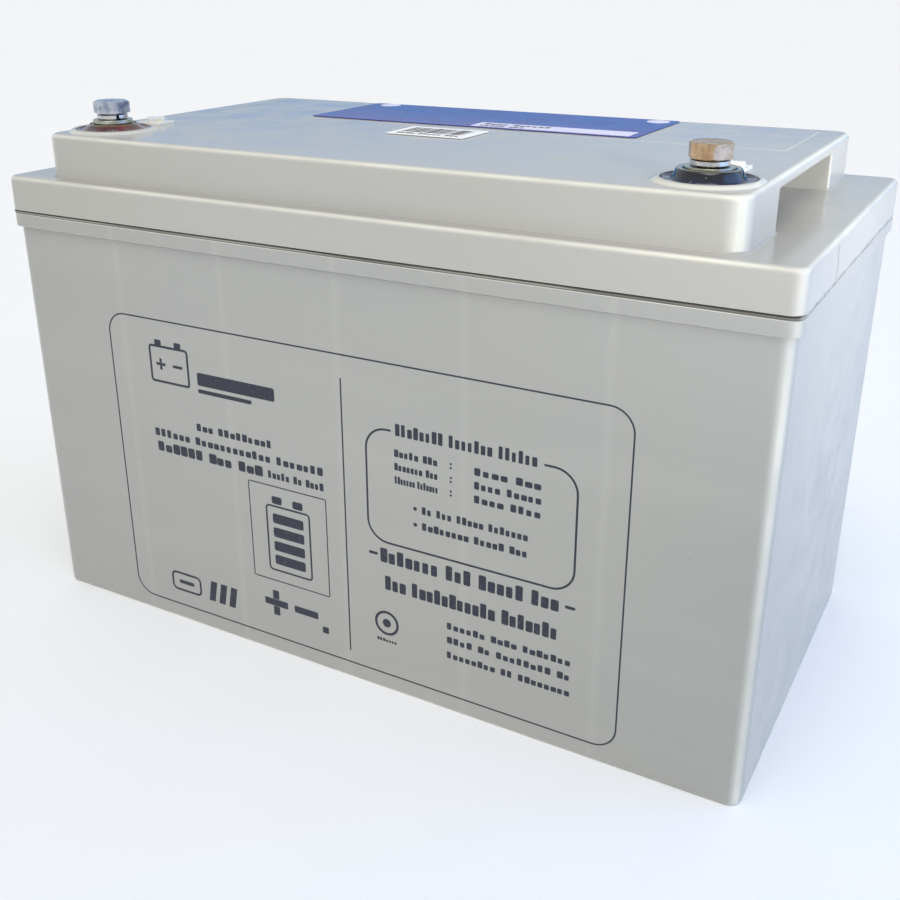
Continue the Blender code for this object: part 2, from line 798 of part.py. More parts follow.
def head_chamfer(name, place, head_radius):
    """A round billet whose cone takes the head's top corners off."""
    billet = [
        (0.0, HEAD_HEIGHT + OVERLAP),
        (HEAD_ACROSS_FLATS / 2 - 2 * OVERLAP, HEAD_HEIGHT + OVERLAP),
        (head_radius + OVERLAP / 2, HEAD_HEIGHT - HEAD_CHAMFER - OVERLAP / 4),
        (head_radius + OVERLAP / 2, -OVERLAP),
        (0.0, -OVERLAP),
    ]
    chamfer = add_cutter(name + "_chamfer", profile_mesh(name + "_chamfer", billet, False), place)
    turn(chamfer)
    return chamfer


# ---------------------------------------------------------------- label and sticker


def make_label(name, x_range, y_range, corner, material):
    base = BLOCK_TOP + STACK_GAP
    sheet = rounded_block(name, x_range, y_range, (base, base + LABEL_THICKNESS), corner)
    add_part(name, sheet, material)


def main():
    plastic = make_material("grey_abs", (0.60, 0.60, 0.57), 0.32)
    epoxy = make_material("dark_epoxy", (0.05, 0.045, 0.04), 0.45)
    rubber = make_material("black_rubber", (0.02, 0.02, 0.02), 0.75)
    lead = make_material("cast_lead", (0.22, 0.23, 0.25), 0.55, 0.9)
    make_case(plastic)
    make_lid(make_material("lid_abs", (0.62, 0.62, 0.59), 0.28))
    make_seal_bead(epoxy)
    make_vent_cover(make_material("cover_abs", (0.62, 0.62, 0.59), 0.28))
    make_valve_caps(rubber)

    positive_paste = make_material("positive_plate", (0.16, 0.08, 0.05), 0.85)
    negative_paste = make_material("negative_plate", (0.28, 0.29, 0.31), 0.75, 0.3)
    sheet = make_material("separator_sheet", (0.78, 0.76, 0.70), 0.80)
    for cell in range(CELLS):
        make_cell(cell, positive_paste, negative_paste, sheet)
    make_links(lead)

    brass = make_material("tinned_brass", (0.55, 0.52, 0.42), 0.35, 1.0)
    zinc = make_material("zinc_steel", (0.60, 0.61, 0.63), 0.30, 1.0)
    yellow_zinc = make_material("yellow_zinc_steel", (0.60, 0.47, 0.32), 0.35, 1.0)
    resins = {
        "positive": make_material("red_resin", (0.22, 0.02, 0.02), 0.12),
        "negative": make_material("black_resin", (0.012, 0.012, 0.015), 0.12),
    }
    bolts = {"positive": zinc, "negative": yellow_zinc}
    for name, side in (("positive", -1), ("negative", 1)):
        make_terminal(name, side, brass, lead, rubber, resins[name])
        make_fastener(name, side, zinc, bolts[name])

    make_label("top_label", LABEL_X, LABEL_Y, 0.0015, make_material("blue_label", (0.06, 0.13, 0.42), 0.35))
    make_label(
        "barcode_sticker", STICKER_X, STICKER_Y, 0.0010, make_material("white_sticker", (0.85, 0.85, 0.85), 0.4)
    )


main()
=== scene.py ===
"""Looks of the deep cycle battery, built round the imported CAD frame.

Units are metres in the frame's own axes: +Z is up, +X runs along the length, and the two
terminals are near the -Y side, the positive one at -X. Every loop of points runs
anticlockwise as seen from the end of the loft that it leads to.
"""
import json
import math
import random

import bmesh
import bpy
from mathutils import Matrix, Vector, noise


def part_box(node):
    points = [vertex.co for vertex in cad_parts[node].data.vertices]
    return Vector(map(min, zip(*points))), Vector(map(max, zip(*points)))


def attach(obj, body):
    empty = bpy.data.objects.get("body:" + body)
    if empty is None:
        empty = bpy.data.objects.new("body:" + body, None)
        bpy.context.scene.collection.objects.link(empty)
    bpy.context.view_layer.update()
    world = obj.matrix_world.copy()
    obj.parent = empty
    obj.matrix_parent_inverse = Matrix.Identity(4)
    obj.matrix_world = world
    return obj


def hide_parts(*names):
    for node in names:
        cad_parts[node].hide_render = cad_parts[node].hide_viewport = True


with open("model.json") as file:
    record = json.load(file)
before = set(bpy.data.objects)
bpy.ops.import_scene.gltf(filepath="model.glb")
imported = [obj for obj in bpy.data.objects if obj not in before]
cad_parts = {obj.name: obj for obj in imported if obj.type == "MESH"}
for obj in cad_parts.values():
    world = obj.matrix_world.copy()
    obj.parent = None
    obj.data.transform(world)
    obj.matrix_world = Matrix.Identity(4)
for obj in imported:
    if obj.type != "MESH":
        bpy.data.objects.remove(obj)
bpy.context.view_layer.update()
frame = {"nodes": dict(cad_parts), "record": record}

SIDES = {"positive": -1, "negative": 1}
CELLS = 6
MM = 0.001

# ---- places read from the frame


def span(node):
    """The lower and the upper corner of a node's box, and its middle."""
    low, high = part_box(node)
    return low, high, (low + high) / 2


def centre(node):
    return span(node)[2]


LID_LOW, LID_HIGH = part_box("lid")
COVER_LOW, COVER_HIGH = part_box("vent_cover")
LABEL_LOW, LABEL_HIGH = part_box("top_label")
STICKER_LOW, STICKER_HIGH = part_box("barcode_sticker")
HALF_X = LID_HIGH.x
HALF_Y = LID_HIGH.y
LID_BASE = LID_LOW.z
CASE_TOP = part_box("case")[1].z
BLOCK_TOP = COVER_HIGH.z
FLANGE_TOP = next(
    mount["pos_m"][2] for mount in frame["record"]["mounts"] if mount["name"] == "hold_down_ledge_right"
)
PARTITIONS = [centre(f"cell_link_{number}").x for number in range(1, CELLS)]

# ---- sizes of the mouldings
BLOCK_X = HALF_X - 20 * MM
BLOCK_Y = HALF_Y - 5.2 * MM
CASE_INSET = 1.6 * MM
CASE_TAPER = 0.8 * MM
RIM_BOTTOM = CASE_TOP - 5.5 * MM
FLANGE_CORNER = 5 * MM
BLOCK_CORNER = 8 * MM
EDGE_RADIUS = 2.2 * MM
BASE_EDGE = 1.5 * MM
STEP_FILLET = 0.5 * MM
SMALL_EDGE = 0.4 * MM
BLOCK_FILLET = 1 * MM
WALL = 3.5 * MM
CELL_CORNER = 1.5 * MM
ROOF = 3 * MM
PARTITION = 2 * MM
GAP = 0.3 * MM
PASS = 10 * MM
CORNER_STEPS = 10
EDGE_STEPS = 6

POCKET_HALF_WIDTH = 42 * MM
POCKET_DEPTH = 24 * MM
POCKET_TOP = BLOCK_TOP - 4 * MM
POCKET_FLARE = 1 * MM
POCKET_CORNER = 2 * MM
POCKET_WALL = 2.5 * MM

WELL_RADIUS = 15.2 * MM
WELL_FLOOR = BLOCK_TOP - 10.5 * MM
WELL_FLOOR_THICKNESS = 2.5 * MM
LIP_HEIGHT = 1.3 * MM
LIP_CREST_RADIUS = 15.9 * MM
LIP_BASE_RADIUS = 18.5 * MM

GALLERY_HALF_LENGTH = 130.5 * MM
GALLERY_FRONT = 47.5 * MM
GALLERY_REAR = 74.5 * MM
GALLERY_FLOOR = BLOCK_TOP - 12.5 * MM
CHIMNEY_RADIUS = 4 * MM
CHIMNEY_TOP = BLOCK_TOP - 6.5 * MM
VENT_HOLE_RADIUS = 2 * MM

MARK_Y = -34 * MM
MARK_HALF = (6 * MM, 5.25 * MM)
MARK_HEIGHT = 1 * MM
MARK_EDGE = 0.3 * MM
SIGN_HALF = (4.5 * MM, 1.3 * MM)
SIGN_HEIGHT = 1.6 * MM

ROUND = 96
SLIVER = 0.002 * MM
THREAD_PITCH = 1.25 * MM
INSERT_FLANGE_REACH = 2 * MM
INSERT_FLANGE_DEPTH = 1.5 * MM
RESIN_INNER_RADIUS = 9.9 * MM

# ---- mesh helpers


def loft(bm, loops, closed=False):
    """Joins loops of equal length, side by side, and caps both ends unless the loft is closed."""
    rings = [[bm.verts.new(point) for point in loop] for loop in loops]
    count = len(rings[0])
    pairs = list(zip(rings, rings[1:]))
    if closed:
        pairs.append((rings[-1], rings[0]))
    for lower, upper in pairs:
        for index in range(count):
            after = (index + 1) % count
            bm.faces.new((lower[index], lower[after], upper[after], upper[index]))
    if not closed:
        bm.faces.new(list(reversed(rings[0])))
        bm.faces.new(rings[-1])


def around(middle, radius, angle, z):
    return (middle[0] + radius * math.cos(angle), middle[1] + radius * math.sin(angle), z)


def shares(steps):
    """Even steps from 0 to 1."""
    return [step / steps for step in range(steps + 1)]


def circle(x, y, radius, steps=40):
    angles = [2 * math.pi * step / steps for step in range(steps)]
    return [(x + radius * math.cos(angle), y + radius * math.sin(angle)) for angle in angles]


def rounded_rectangle(half_x, half_y, radius, z, steps=CORNER_STEPS, middle=(0, 0)):
    """A level loop, anticlockwise from above."""
    points = []
    for quarter, (sign_x, sign_y) in enumerate(((1, 1), (-1, 1), (-1, -1), (1, -1))):
        corner = (middle[0] + sign_x * (half_x - radius), middle[1] + sign_y * (half_y - radius))
        for step in range(steps + 1):
            points.append(around(corner, radius, (quarter + step / steps) * math.pi / 2, z))
    return points


def panel(x_range, y_range, radius, z=0, steps=3):
    """A level rounded rectangle between two limits along each axis."""
    half_x, half_y = ((high - low) / 2 for low, high in (x_range, y_range))
    return rounded_rectangle(half_x, half_y, radius, z, steps, (sum(x_range) / 2, sum(y_range) / 2))


def stack(half_x, half_y, corner, profile, steps=CORNER_STEPS, middle=(0, 0)):
    """Level rounded rectangles through (inset, z) points.

    corner is the corner radius where the inset is 0, or a function of the inset.
    """
    loops = []
    for inset, z in profile:
        radius = corner(inset) if callable(corner) else corner - inset
        loops.append(rounded_rectangle(half_x - inset, half_y - inset, radius, z, steps, middle))
    return loops


def arc(middle_inset, middle_z, radius, start, end, steps=EDGE_STEPS):
    """Points (inset, z) along an arc, its angles in degrees from the inward direction."""
    points = []
    for step in range(steps + 1):
        angle = math.radians(start + (end - start) * step / steps)
        points.append((middle_inset + radius * math.cos(angle), middle_z + radius * math.sin(angle)))
    return points


def add_ring(bm, section, middle, shape=None):
    """A closed (radius, z) section turned about an upright axis. The shape may move a point."""
    loops = []
    for step in range(ROUND):
        angle = 2 * math.pi * step / ROUND
        points = [shape(*point, angle) for point in section] if shape else section
        loops.append([around(middle, radius, angle, z) for radius, z in points])
    loft(bm, loops, closed=True)


def add_turned(bm, profile, middle, steps=ROUND):
    """A solid turned from (radius, z) points that run up its outer side, with flat ends.

    A radius or a height may be a function of the angle.
    """
    loops = []
    for point in profile:
        loop = []
        for step in range(steps):
            angle = 2 * math.pi * step / steps
            radius, z = (value(angle) if callable(value) else value for value in point)
            loop.append(around(middle, radius, angle, z))
        loops.append(loop)
    loft(bm, loops)


def add_box(bm, x_range, y_range, z_range, radius=0.5 * MM):
    """A box with round upright corners."""
    loft(bm, [panel(x_range, y_range, radius, z) for z in z_range])


def mesh_of(bm):
    mesh = bpy.data.meshes.new("mesh")
    bm.normal_update()
    bm.to_mesh(mesh)
    bm.free()
    return mesh


def solid(add, *shape, **settings):
    """The mesh of one shape, such as solid(add_box, ...)."""
    bm = bmesh.new()
    add(bm, *shape, **settings)
    return mesh_of(bm)


def add_object(name, data):
    item = bpy.data.objects.new(name, data)
    bpy.context.scene.collection.objects.link(item)
    return item


def combine(mesh, *tools, operation="DIFFERENCE"):
    """The mesh, cut by or united with each tool in turn."""
    for tool in tools:
        base, other = add_object("base", mesh), add_object("tool", tool)
        boolean = base.modifiers.new("boolean", "BOOLEAN")
        boolean.operation = operation
        boolean.solver = "EXACT"
        boolean.object = other
        graph = bpy.context.evaluated_depsgraph_get()
        mesh = bpy.data.meshes.new_from_object(base.evaluated_get(graph))
        for item in (base, other):
            bpy.data.objects.remove(item, do_unlink=True)
        bm = bmesh.new()
        bm.from_mesh(mesh)
        bmesh.ops.dissolve_degenerate(bm, dist=SLIVER, edges=bm.edges)
        bm.to_mesh(mesh)
        bm.free()
    return mesh


def make_piece(name, mesh, material, slot, *replaced, body="battery", sharp=32):
    """Links a finished mesh as a piece that rides on a body and stands for some CAD nodes."""
    mesh.name = name
    mesh.materials.clear()
    mesh.materials.append(material)
    mesh.polygons.foreach_set("use_smooth", [True] * len(mesh.polygons))
    mesh.set_sharp_from_angle(angle=math.radians(sharp))
    piece = add_object(name, mesh)
    weighted = piece.modifiers.new("Even shading", "WEIGHTED_NORMAL")
    weighted.keep_sharp = True
    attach(piece, body)
    if replaced:
        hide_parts(*replaced)


# ---- material helpers


def srgb(red, green, blue):
    """A colour given as 0 to 255 sRGB values, as linear RGBA."""
    linear = []
    for value in (red, green, blue):
        share = value / 255
        linear.append(share / 12.92 if share <= 0.04045 else ((share + 0.055) / 1.055) ** 2.4)
    return (*linear, 1)


class Nodes:
    """Adds nodes to a tree. An input is a number, a colour or another node's socket."""

    def __init__(self, tree):
        self.tree = tree

    def add(self, kind, inputs=None, **settings):
        """Adds a node and gives its outputs."""
        item = self.tree.nodes.new(kind)
        for key, value in settings.items():
            setattr(item, key, value)
        for key, value in (inputs or {}).items():
            if isinstance(value, bpy.types.NodeSocket):
                self.tree.links.new(value, item.inputs[key])
            else:
                item.inputs[key].default_value = value
        return item.outputs

    def spread(self, value, low, high, to_low=0, to_high=1, kind="LINEAR"):
        """Turns low into to_low and high into to_high, with no value beyond them."""
        inputs = {"Value": value, "From Min": low, "From Max": high}
        inputs |= {"To Min": to_low, "To Max": to_high}
        return self.add("ShaderNodeMapRange", inputs, interpolation_type=kind)["Result"]

    def maths(self, operation, first, second=0):
        return self.add("ShaderNodeMath", {0: first, 1: second}, operation=operation)["Value"]

    def times(self, first, second):
        return self.maths("MULTIPLY", first, second)

    def mix(self, factor, first, second):
        inputs = {0: factor, 6: first, 7: second}
        return self.add("ShaderNodeMix", inputs, data_type="RGBA")[2]

    def parts(self, vector):
        return self.add("ShaderNodeSeparateXYZ", {"Vector": vector})


class Shader(Nodes):
    """A Principled material whose colour, roughness and relief are built from nodes."""

    def __init__(self, name, first=None, second=None, noise=(), *limits):
        """The colour starts as a mix of two by a noise, which is spread between the limits."""
        self.material = bpy.data.materials.new(name)
        self.material.use_nodes = True
        super().__init__(self.material.node_tree)
        self.surface = self.tree.nodes["Principled BSDF"]
        self.place = self.add("ShaderNodeTexCoord")["Object"]
        self.colour = self.roughness = self.relief = None
        if noise:
            self.colour = self.mix(self.patches(noise, *limits), first, second)

    def noise(self, scale, detail=2, stretch=None, roughness=0.5):
        place = self.place
        if stretch:
            place = self.add("ShaderNodeMapping", {"Vector": place, "Scale": stretch})["Vector"]
        inputs = {"Vector": place, "Scale": scale, "Detail": detail, "Roughness": roughness}
        return self.add("ShaderNodeTexNoise", inputs)["Fac"]

    def patches(self, noise, *limits):
        """Noise with a (scale, detail, stretch, roughness), spread between any limits."""
        noise = self.noise(*noise)
        return self.spread(noise, *limits) if limits else noise

    def cells(self, scale):
        inputs = {"Vector": self.place, "Scale": scale}
        return self.add("ShaderNodeTexVoronoi", inputs)["Distance"]

    def axis(self, name):
        return self.parts(self.place)[name]

    def edges(self):
        """1 where the surface turns a rounded edge or corner, and 0 on faces square to an axis."""
        square, turning = 0.985, 0.80
        normal = self.parts(self.add("ShaderNodeNewGeometry")["Normal"])
        sizes = [self.maths("ABSOLUTE", normal[axis]) for axis in ("X", "Y", "Z")]
        largest = self.maths("MAXIMUM", self.maths("MAXIMUM", sizes[0], sizes[1]), sizes[2])
        return self.spread(largest, square, turning)

    def paint(self, amount, colour, strength=1):
        """Covers an amount of the colour so far with an 0 to 255 sRGB colour."""
        if strength != 1:
            amount = self.times(amount, strength)
        self.colour = self.mix(amount, self.colour, srgb(*colour))

    def roughen(self, noise, low, high):
        self.roughness = self.patches(noise, 0.3, 0.7, low, high)

    def raise_by(self, height, distance, strength=1):
        inputs = {"Height": height, "Distance": distance, "Strength": strength}
        if self.relief:
            inputs["Normal"] = self.relief
        self.relief = self.add("ShaderNodeBump", inputs)["Normal"]

    def grain(self, noise, height, strength):
        """Relief from a noise, its height in millimetres."""
        self.raise_by(self.noise(*noise), height * MM, strength)

    def finish(self, **constants):
        parts = {"Base Color": self.colour, "Roughness": self.roughness, "Normal": self.relief}
        for key, value in parts.items():
            if value:
                self.tree.links.new(value, self.surface.inputs[key])
        for key, value in constants.items():
            self.surface.inputs[key.replace("_", " ")].default_value = value
        return self.material


# ---- materials


def shaded(colour, factor):
    return [channel * factor for channel in colour[:3]] + [1]


def abs_material(name, base, hollow=None, partition_lines=False, edge_sheen_strength=0.62):
    """Glossy moulded ABS: faint mottling, a fine grain, orange peel, scuffs, and a painted highlight on
    rounded edges.

    hollow is the (low, high) of an inner corner, which gets painted shade and no painted edge
    highlight.
    """
    warm = [channel * factor for channel, factor in zip(srgb(*base), (1.02, 1.01, 0.97, 1))]
    cool = [channel * factor for channel, factor in zip(srgb(*base), (0.97, 0.98, 1.00, 1))]
    look = Shader(name, cool, warm, (7, 2), 0.2, 0.8)
    look.paint(look.patches((7, 2, (1, 1, 7)), 0.5, 0.8, 0, 0.06), (214, 211, 203))
    scuffs = look.patches((34, 5, (1, 6, 2.5), 0.7), 0.70, 0.76)
    look.paint(scuffs, (232, 231, 226), 0.18)
    specks = look.spread(look.cells(95), 0.045, 0.02)
    grime = look.times(specks, look.patches((21,), 0.56, 0.6))
    look.paint(grime, (96, 88, 76), 0.22)
    # Painted highlight: a cream sheen laid on rounded edges and corners, patchy by a noise.
    painted_edge_sheen = look.times(look.edges(), look.patches((30, 3), 0.3, 0.7, edge_sheen_strength / 2, edge_sheen_strength))
    if hollow:
        above = look.maths("GREATER_THAN", look.axis("Z"), hollow[0])
        crease_shade = look.times(above, look.maths("LESS_THAN", look.axis("Z"), hollow[1]))
        painted_edge_sheen = look.times(painted_edge_sheen, look.maths("SUBTRACT", 1, crease_shade))
        # Painted shade: the rounded inner corner under the rim or at the block's foot is darkened.
        look.paint(look.times(look.edges(), crease_shade), (120, 114, 104), 0.35)
    # Paints the cream edge highlight.
    look.paint(painted_edge_sheen, (238, 235, 218))
    look.roughen((60, 4), 0.15, 0.27)
    look.roughness = look.maths("ADD", look.roughness, look.times(scuffs, 0.18))
    if partition_lines:
        pitch = PARTITIONS[1] - PARTITIONS[0]
        offset = look.maths("ADD", look.axis("X"), 10 * pitch + pitch / 2)
        beside = look.maths("SUBTRACT", look.maths("MODULO", offset, pitch), pitch / 2)
        line = look.spread(look.maths("ABSOLUTE", beside), 2.6 * MM, 0.4 * MM)
        look.raise_by(look.times(line, -1), 0.04 * MM)
        look.paint(line, (222, 220, 214), 0.05)
    look.grain((9, 1), 0.14, 0.5)
    look.grain((230, 2), 0.003, 0.35)
    look.grain((2600, 1), 0.0008, 0.5)
    return look.finish(IOR=1.52)


def metal_material(name, base, tint, roughness, grain=(1, 1, 1)):
    """Plated metal: a drifting tint, fine tool marks, and dull spots."""
    look = Shader(name, srgb(*base), srgb(*tint), (240, 3), 0.35, 0.65)
    look.paint(look.patches((700, 4), 0.52, 0.68), (92, 88, 84), 0.35)
    look.roughen((900, 2, grain), roughness - 0.06, roughness + 0.10)
    look.grain((1500, 3, grain), 0.02, 0.6)
    return look.finish(Metallic=1)


def lead_material():
    """Cast lead: cloudy grey with a coarse, dull skin."""
    base = srgb(142, 146, 152)
    look = Shader("cast_lead_grey", shaded(base, 0.7), base, (60, 5), 0.3, 0.7)
    look.roughen((400, 3), 0.5, 0.75)
    look.grain((500, 4), 0.12, 0.8)
    return look.finish(Metallic=0.6)


def soft_material(name, base, scale, roughness, relief, mottle=0.85):
    """A non-metal with its own grain: rubber, fleece, glue, ink or paper. Relief is in mm."""
    base = srgb(*base)
    look = Shader(name, shaded(base, mottle), base, (scale, 4), 0.3, 0.7)
    look.roughen((scale * 2, 2), roughness - 0.05, roughness + 0.08)
    look.grain((scale * 3, 3), relief, 0.6)
    return look.finish()


def seam_material():
    """Epoxy in the seam: dark under the lid, greyer below, and wiped pale along the right end."""
    brown, dark = srgb(58, 53, 45), srgb(38, 35, 31)
    look = Shader("seam_epoxy", brown, dark, (240, 4), 0.5, 0.7, 0, 0.5)
    height = look.spread(look.axis("Z"), LID_BASE - 0.50 * MM, LID_BASE - 0.75 * MM)
    smeared = look.patches((13, 2), 0.40, 0.54, 0.45, 1)
    look.paint(look.times(height, smeared), (150, 147, 138))
    end = look.spread(look.axis("X"), HALF_X - 1.5 * MM, HALF_X - 0.7 * MM)
    wiped = look.patches((150, 3), 0.35, 0.60, 1, 0.45)
    look.paint(look.times(wiped, end), (180, 178, 172))
    look.roughen((300,), 0.35, 0.6)
    look.grain((420, 3), 0.2, 0.7)
    return look.finish()


def resin_material(name, terminal, base, deep, pool_reflection, glint_colour):
    """Glossy potting resin: clouds, a painted reflection on its flat outer pool, painted glints, and
    olive at its terminal.
    """
    look = Shader(name, srgb(*deep), srgb(*base), (190, 4), 0.35, 0.65)
    squares = []
    for axis, place in zip("XY", centre(terminal)):
        length = look.maths("SUBTRACT", look.axis(axis), place)
        squares.append(look.times(length, length))
    radius = look.maths("SQRT", look.maths("ADD", *squares))
    depth = look.maths("SUBTRACT", radius, RESIN_INNER_RADIUS)
    # Painted reflection: the flat outer pool takes a sky-tinted colour, blue on the black potting.
    look.paint(look.spread(depth, 1 * MM, 3 * MM, 0, 0.85), pool_reflection)
    thin = look.spread(depth, 0.5 * MM, -0.3 * MM, 0, 0.75)
    look.paint(look.times(thin, look.patches((260, 3), 0.35, 0.6, 0.3, 1)), (116, 116, 88))
    # Painted glints: small light spots scattered over the potting.
    spots = look.spread(look.cells(620), 0.16, 0.08)
    look.paint(look.times(spots, look.patches((330,), 0.58, 0.62)), glint_colour, 0.8)
    look.roughen((500, 2), 0.05, 0.16)
    look.grain((360, 3), 0.12, 0.5)
    return look.finish(IOR=1.50, Coat_Weight=0.25, Coat_Roughness=0.05)


def label_material():
    """Glossy printed film that fades from lilac at the front to deep blue at the rear."""
    look = Shader("label_film")
    deep_y = LABEL_LOW.y + 0.72 * (LABEL_HIGH.y - LABEL_LOW.y)
    rear = look.spread(look.axis("Y"), LABEL_LOW.y, deep_y)
    right = look.spread(look.axis("X"), LABEL_LOW.x, LABEL_HIGH.x, -0.10, 0.32)
    share = look.maths("ADD", rear, right)
    share = look.maths("ADD", share, look.patches((24, 3), 0.3, 0.7, -0.08, 0.08))
    look.colour = look.mix(look.spread(share, 0, 1), srgb(76, 66, 140), srgb(12, 50, 138))
    look.paint(look.patches((85, 4, (1, 5, 1)), 0.5, 0.75, 0, 0.10), (96, 132, 196))
    look.roughen((120, 3), 0.16, 0.30)
    look.grain((40, 2), 0.15, 0.3)
    look.grain((900, 2), 0.01, 0.4)
    return look.finish(IOR=1.30)


def ink_material():
    """Screen-printed ink, near black, thin enough in places to show the plastic's grain."""
    full, thin = srgb(34, 38, 52), srgb(92, 96, 108)
    look = Shader("print_ink", full, thin, (900, 4), 0.55, 0.75, 0, 0.35)
    look.roughen((700,), 0.38, 0.55)
    look.grain((1400, 2), 0.01, 0.5)
    return look.finish()


def plate_material(name, base, bar):
    """A pasted plate: paste between the bars of a cast grid."""
    base = srgb(*base)
    look = Shader(name, base, shaded(base, 0.6), (140, 5), 0.3, 0.7)
    bars = []
    for axis, pitch, width in (("Y", 12 * MM, 1.1 * MM), ("Z", 6 * MM, 0.8 * MM)):
        place = look.maths("MODULO", look.maths("ADD", look.axis(axis), 60 * pitch), pitch)
        bars.append(look.spread(place, width, width * 0.6))
    grid = look.maths("MAXIMUM", *bars)
    look.paint(grid, bar, 0.5)
    look.roughen((500, 3), 0.6, 0.85)
    look.raise_by(grid, 0.15 * MM, 0.6)
    look.grain((600, 4), 0.08, 0.7)
    return look.finish()


ALONG_BOLT = (1, 1, 0.1)
UNDER_RIM = (RIM_BOTTOM - STEP_FILLET, RIM_BOTTOM)
BLOCK_FOOT = (FLANGE_TOP + 0.02 * MM, FLANGE_TOP + BLOCK_FILLET)
CASE_ABS = abs_material("case_plastic", (163, 163, 158), UNDER_RIM, True)
LID_ABS = abs_material("lid_plastic", (174, 172, 165), BLOCK_FOOT)
# The vent cover's rounded edges take the painted highlight at full strength.
COVER_ABS = abs_material("cover_plastic", (172, 171, 166), edge_sheen_strength=1)
MARK_ABS = abs_material("mark_plastic", (226, 224, 215))
SEAM = seam_material()
INK = ink_material()
LABEL = label_material()
STICKER = soft_material("sticker_paper", (240, 240, 238), 420, 0.42, 0.01, 0.96)
STRIP = soft_material("label_strip", (214, 210, 232), 300, 0.35, 0.01, 0.96)
STICKER_INK = soft_material("sticker_ink", (74, 62, 60), 900, 0.5, 0.01)
RED_RESIN = resin_material(
    "red_potting", "positive_terminal", (104, 20, 20), (44, 10, 14), (80, 24, 34), (214, 168, 150)
)
BLACK_RESIN = resin_material(
    "black_potting", "negative_terminal", (24, 27, 34), (9, 11, 18), (20, 34, 84), (176, 178, 150)
)
WASHER_STEEL = metal_material("washer_zinc", (192, 192, 178), (158, 160, 142), 0.26)
SPRING_STEEL = metal_material("spring_zinc", (214, 212, 208), (186, 186, 188), 0.20)
SILVER_BOLT = metal_material("bolt_silver_zinc", (198, 202, 208), (134, 146, 168), 0.20, ALONG_BOLT)
WARM_BOLT = metal_material("bolt_warm_zinc", (206, 180, 150), (178, 146, 112), 0.28, ALONG_BOLT)
TERMINAL_METAL = metal_material("terminal_tin", (168, 166, 142), (134, 130, 100), 0.34)
RUBBER = soft_material("valve_rubber_black", (34, 34, 36), 300, 0.6, 0.03)
O_RING_RUBBER = soft_material("o_ring_rubber_black", (26, 26, 28), 500, 0.45, 0.02)
LEAD = lead_material()
POSITIVE_PASTE = plate_material("positive_paste", (92, 56, 42), (120, 118, 116))
NEGATIVE_PASTE = plate_material("negative_paste", (132, 136, 140), (156, 158, 162))
FLEECE = soft_material("separator_fleece", (226, 224, 214), 900, 0.8, 0.05, 0.88)
GLUE = soft_material("dried_glue", (120, 84, 58), 700, 0.4, 0.05, 0.6)

# ---- case


def cell_spans():
    """The (low, high) of each cell along X, between the end walls and the partitions."""
    inner = HALF_X - CASE_INSET - WALL
    lows = [-inner] + [x + PARTITION / 2 for x in PARTITIONS]
    highs = [x - PARTITION / 2 for x in PARTITIONS] + [inner]
    return list(zip(lows, highs))


INNER_Y = HALF_Y - CASE_INSET - WALL


def make_case():
    wall = CASE_INSET + CASE_TAPER
    profile = arc(wall + BASE_EDGE, BASE_EDGE, BASE_EDGE, 270, 180)
    profile += arc(CASE_INSET - STEP_FILLET, RIM_BOTTOM - STEP_FILLET, STEP_FILLET, 0, 90, 4)
    profile += arc(SMALL_EDGE, RIM_BOTTOM + SMALL_EDGE, SMALL_EDGE, 270, 180, 4)
    profile += arc(SMALL_EDGE, CASE_TOP - SMALL_EDGE, SMALL_EDGE, 180, 90, 4)
    outside = stack(HALF_X, HALF_Y, lambda inset: FLANGE_CORNER - max(0, inset - wall), profile)
    cells = bmesh.new()
    for x_range in cell_spans():
        add_box(cells, x_range, (-INNER_Y, INNER_Y), (WALL, CASE_TOP + PASS), CELL_CORNER)
    mesh = combine(solid(loft, outside), mesh_of(cells), link_holes())
    make_piece("case_moulding", mesh, CASE_ABS, "case_abs", "case")


def link_holes():
    bm = bmesh.new()
    for number in range(1, CELLS):
        low, high, middle = span(f"cell_link_{number}")
        outline = circle(middle.y, middle.z, (high.z - low.z) / 2 + GAP, 32)
        ends = (middle.x - 2 * PARTITION, middle.x + 2 * PARTITION)
        loft(bm, [[(x, y, z) for y, z in outline] for x in ends])
    return mesh_of(bm)


def make_seal_bead():
    """The epoxy in the seam: a frame that bulges a little, and a bar along each partition."""
    low, high = CASE_TOP + 0.02 * MM, LID_BASE - 0.02 * MM
    deep = HALF_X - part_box("lid_seal_bead")[1].x
    face = 0.25 * MM
    bulge = face - 0.05 * MM
    profile = [(deep, low), (face, low + 0.2 * MM), (bulge, (low + high) / 2)]
    profile += [(face, high - 0.2 * MM), (deep, high)]
    outside = stack(HALF_X, HALF_Y, lambda inset: FLANGE_CORNER - deep - (inset - bulge), profile)
    cells = bmesh.new()
    for start, end in cell_spans():
        spans = (start - GAP, end + GAP), (-INNER_Y - GAP, INNER_Y + GAP), (low - PASS, high + PASS)
        add_box(cells, *spans, 1 * MM)
    mesh = combine(solid(loft, outside), mesh_of(cells))
    make_piece("seam_epoxy", mesh, SEAM, "dark_epoxy", "lid_seal_bead")


# ---- lid


def lid_body():
    profile = arc(GAP, LID_BASE + GAP, GAP, 270, 180, 3)
    profile += arc(EDGE_RADIUS, FLANGE_TOP - EDGE_RADIUS, EDGE_RADIUS, 180, 90)
    loops = stack(HALF_X, HALF_Y, FLANGE_CORNER, profile)
    profile = arc(-BLOCK_FILLET, FLANGE_TOP + BLOCK_FILLET, BLOCK_FILLET, 270, 360, 4)
    profile += arc(EDGE_RADIUS, BLOCK_TOP - EDGE_RADIUS, EDGE_RADIUS, 180, 90)
    return solid(loft, loops + stack(BLOCK_X, BLOCK_Y, BLOCK_CORNER, profile))


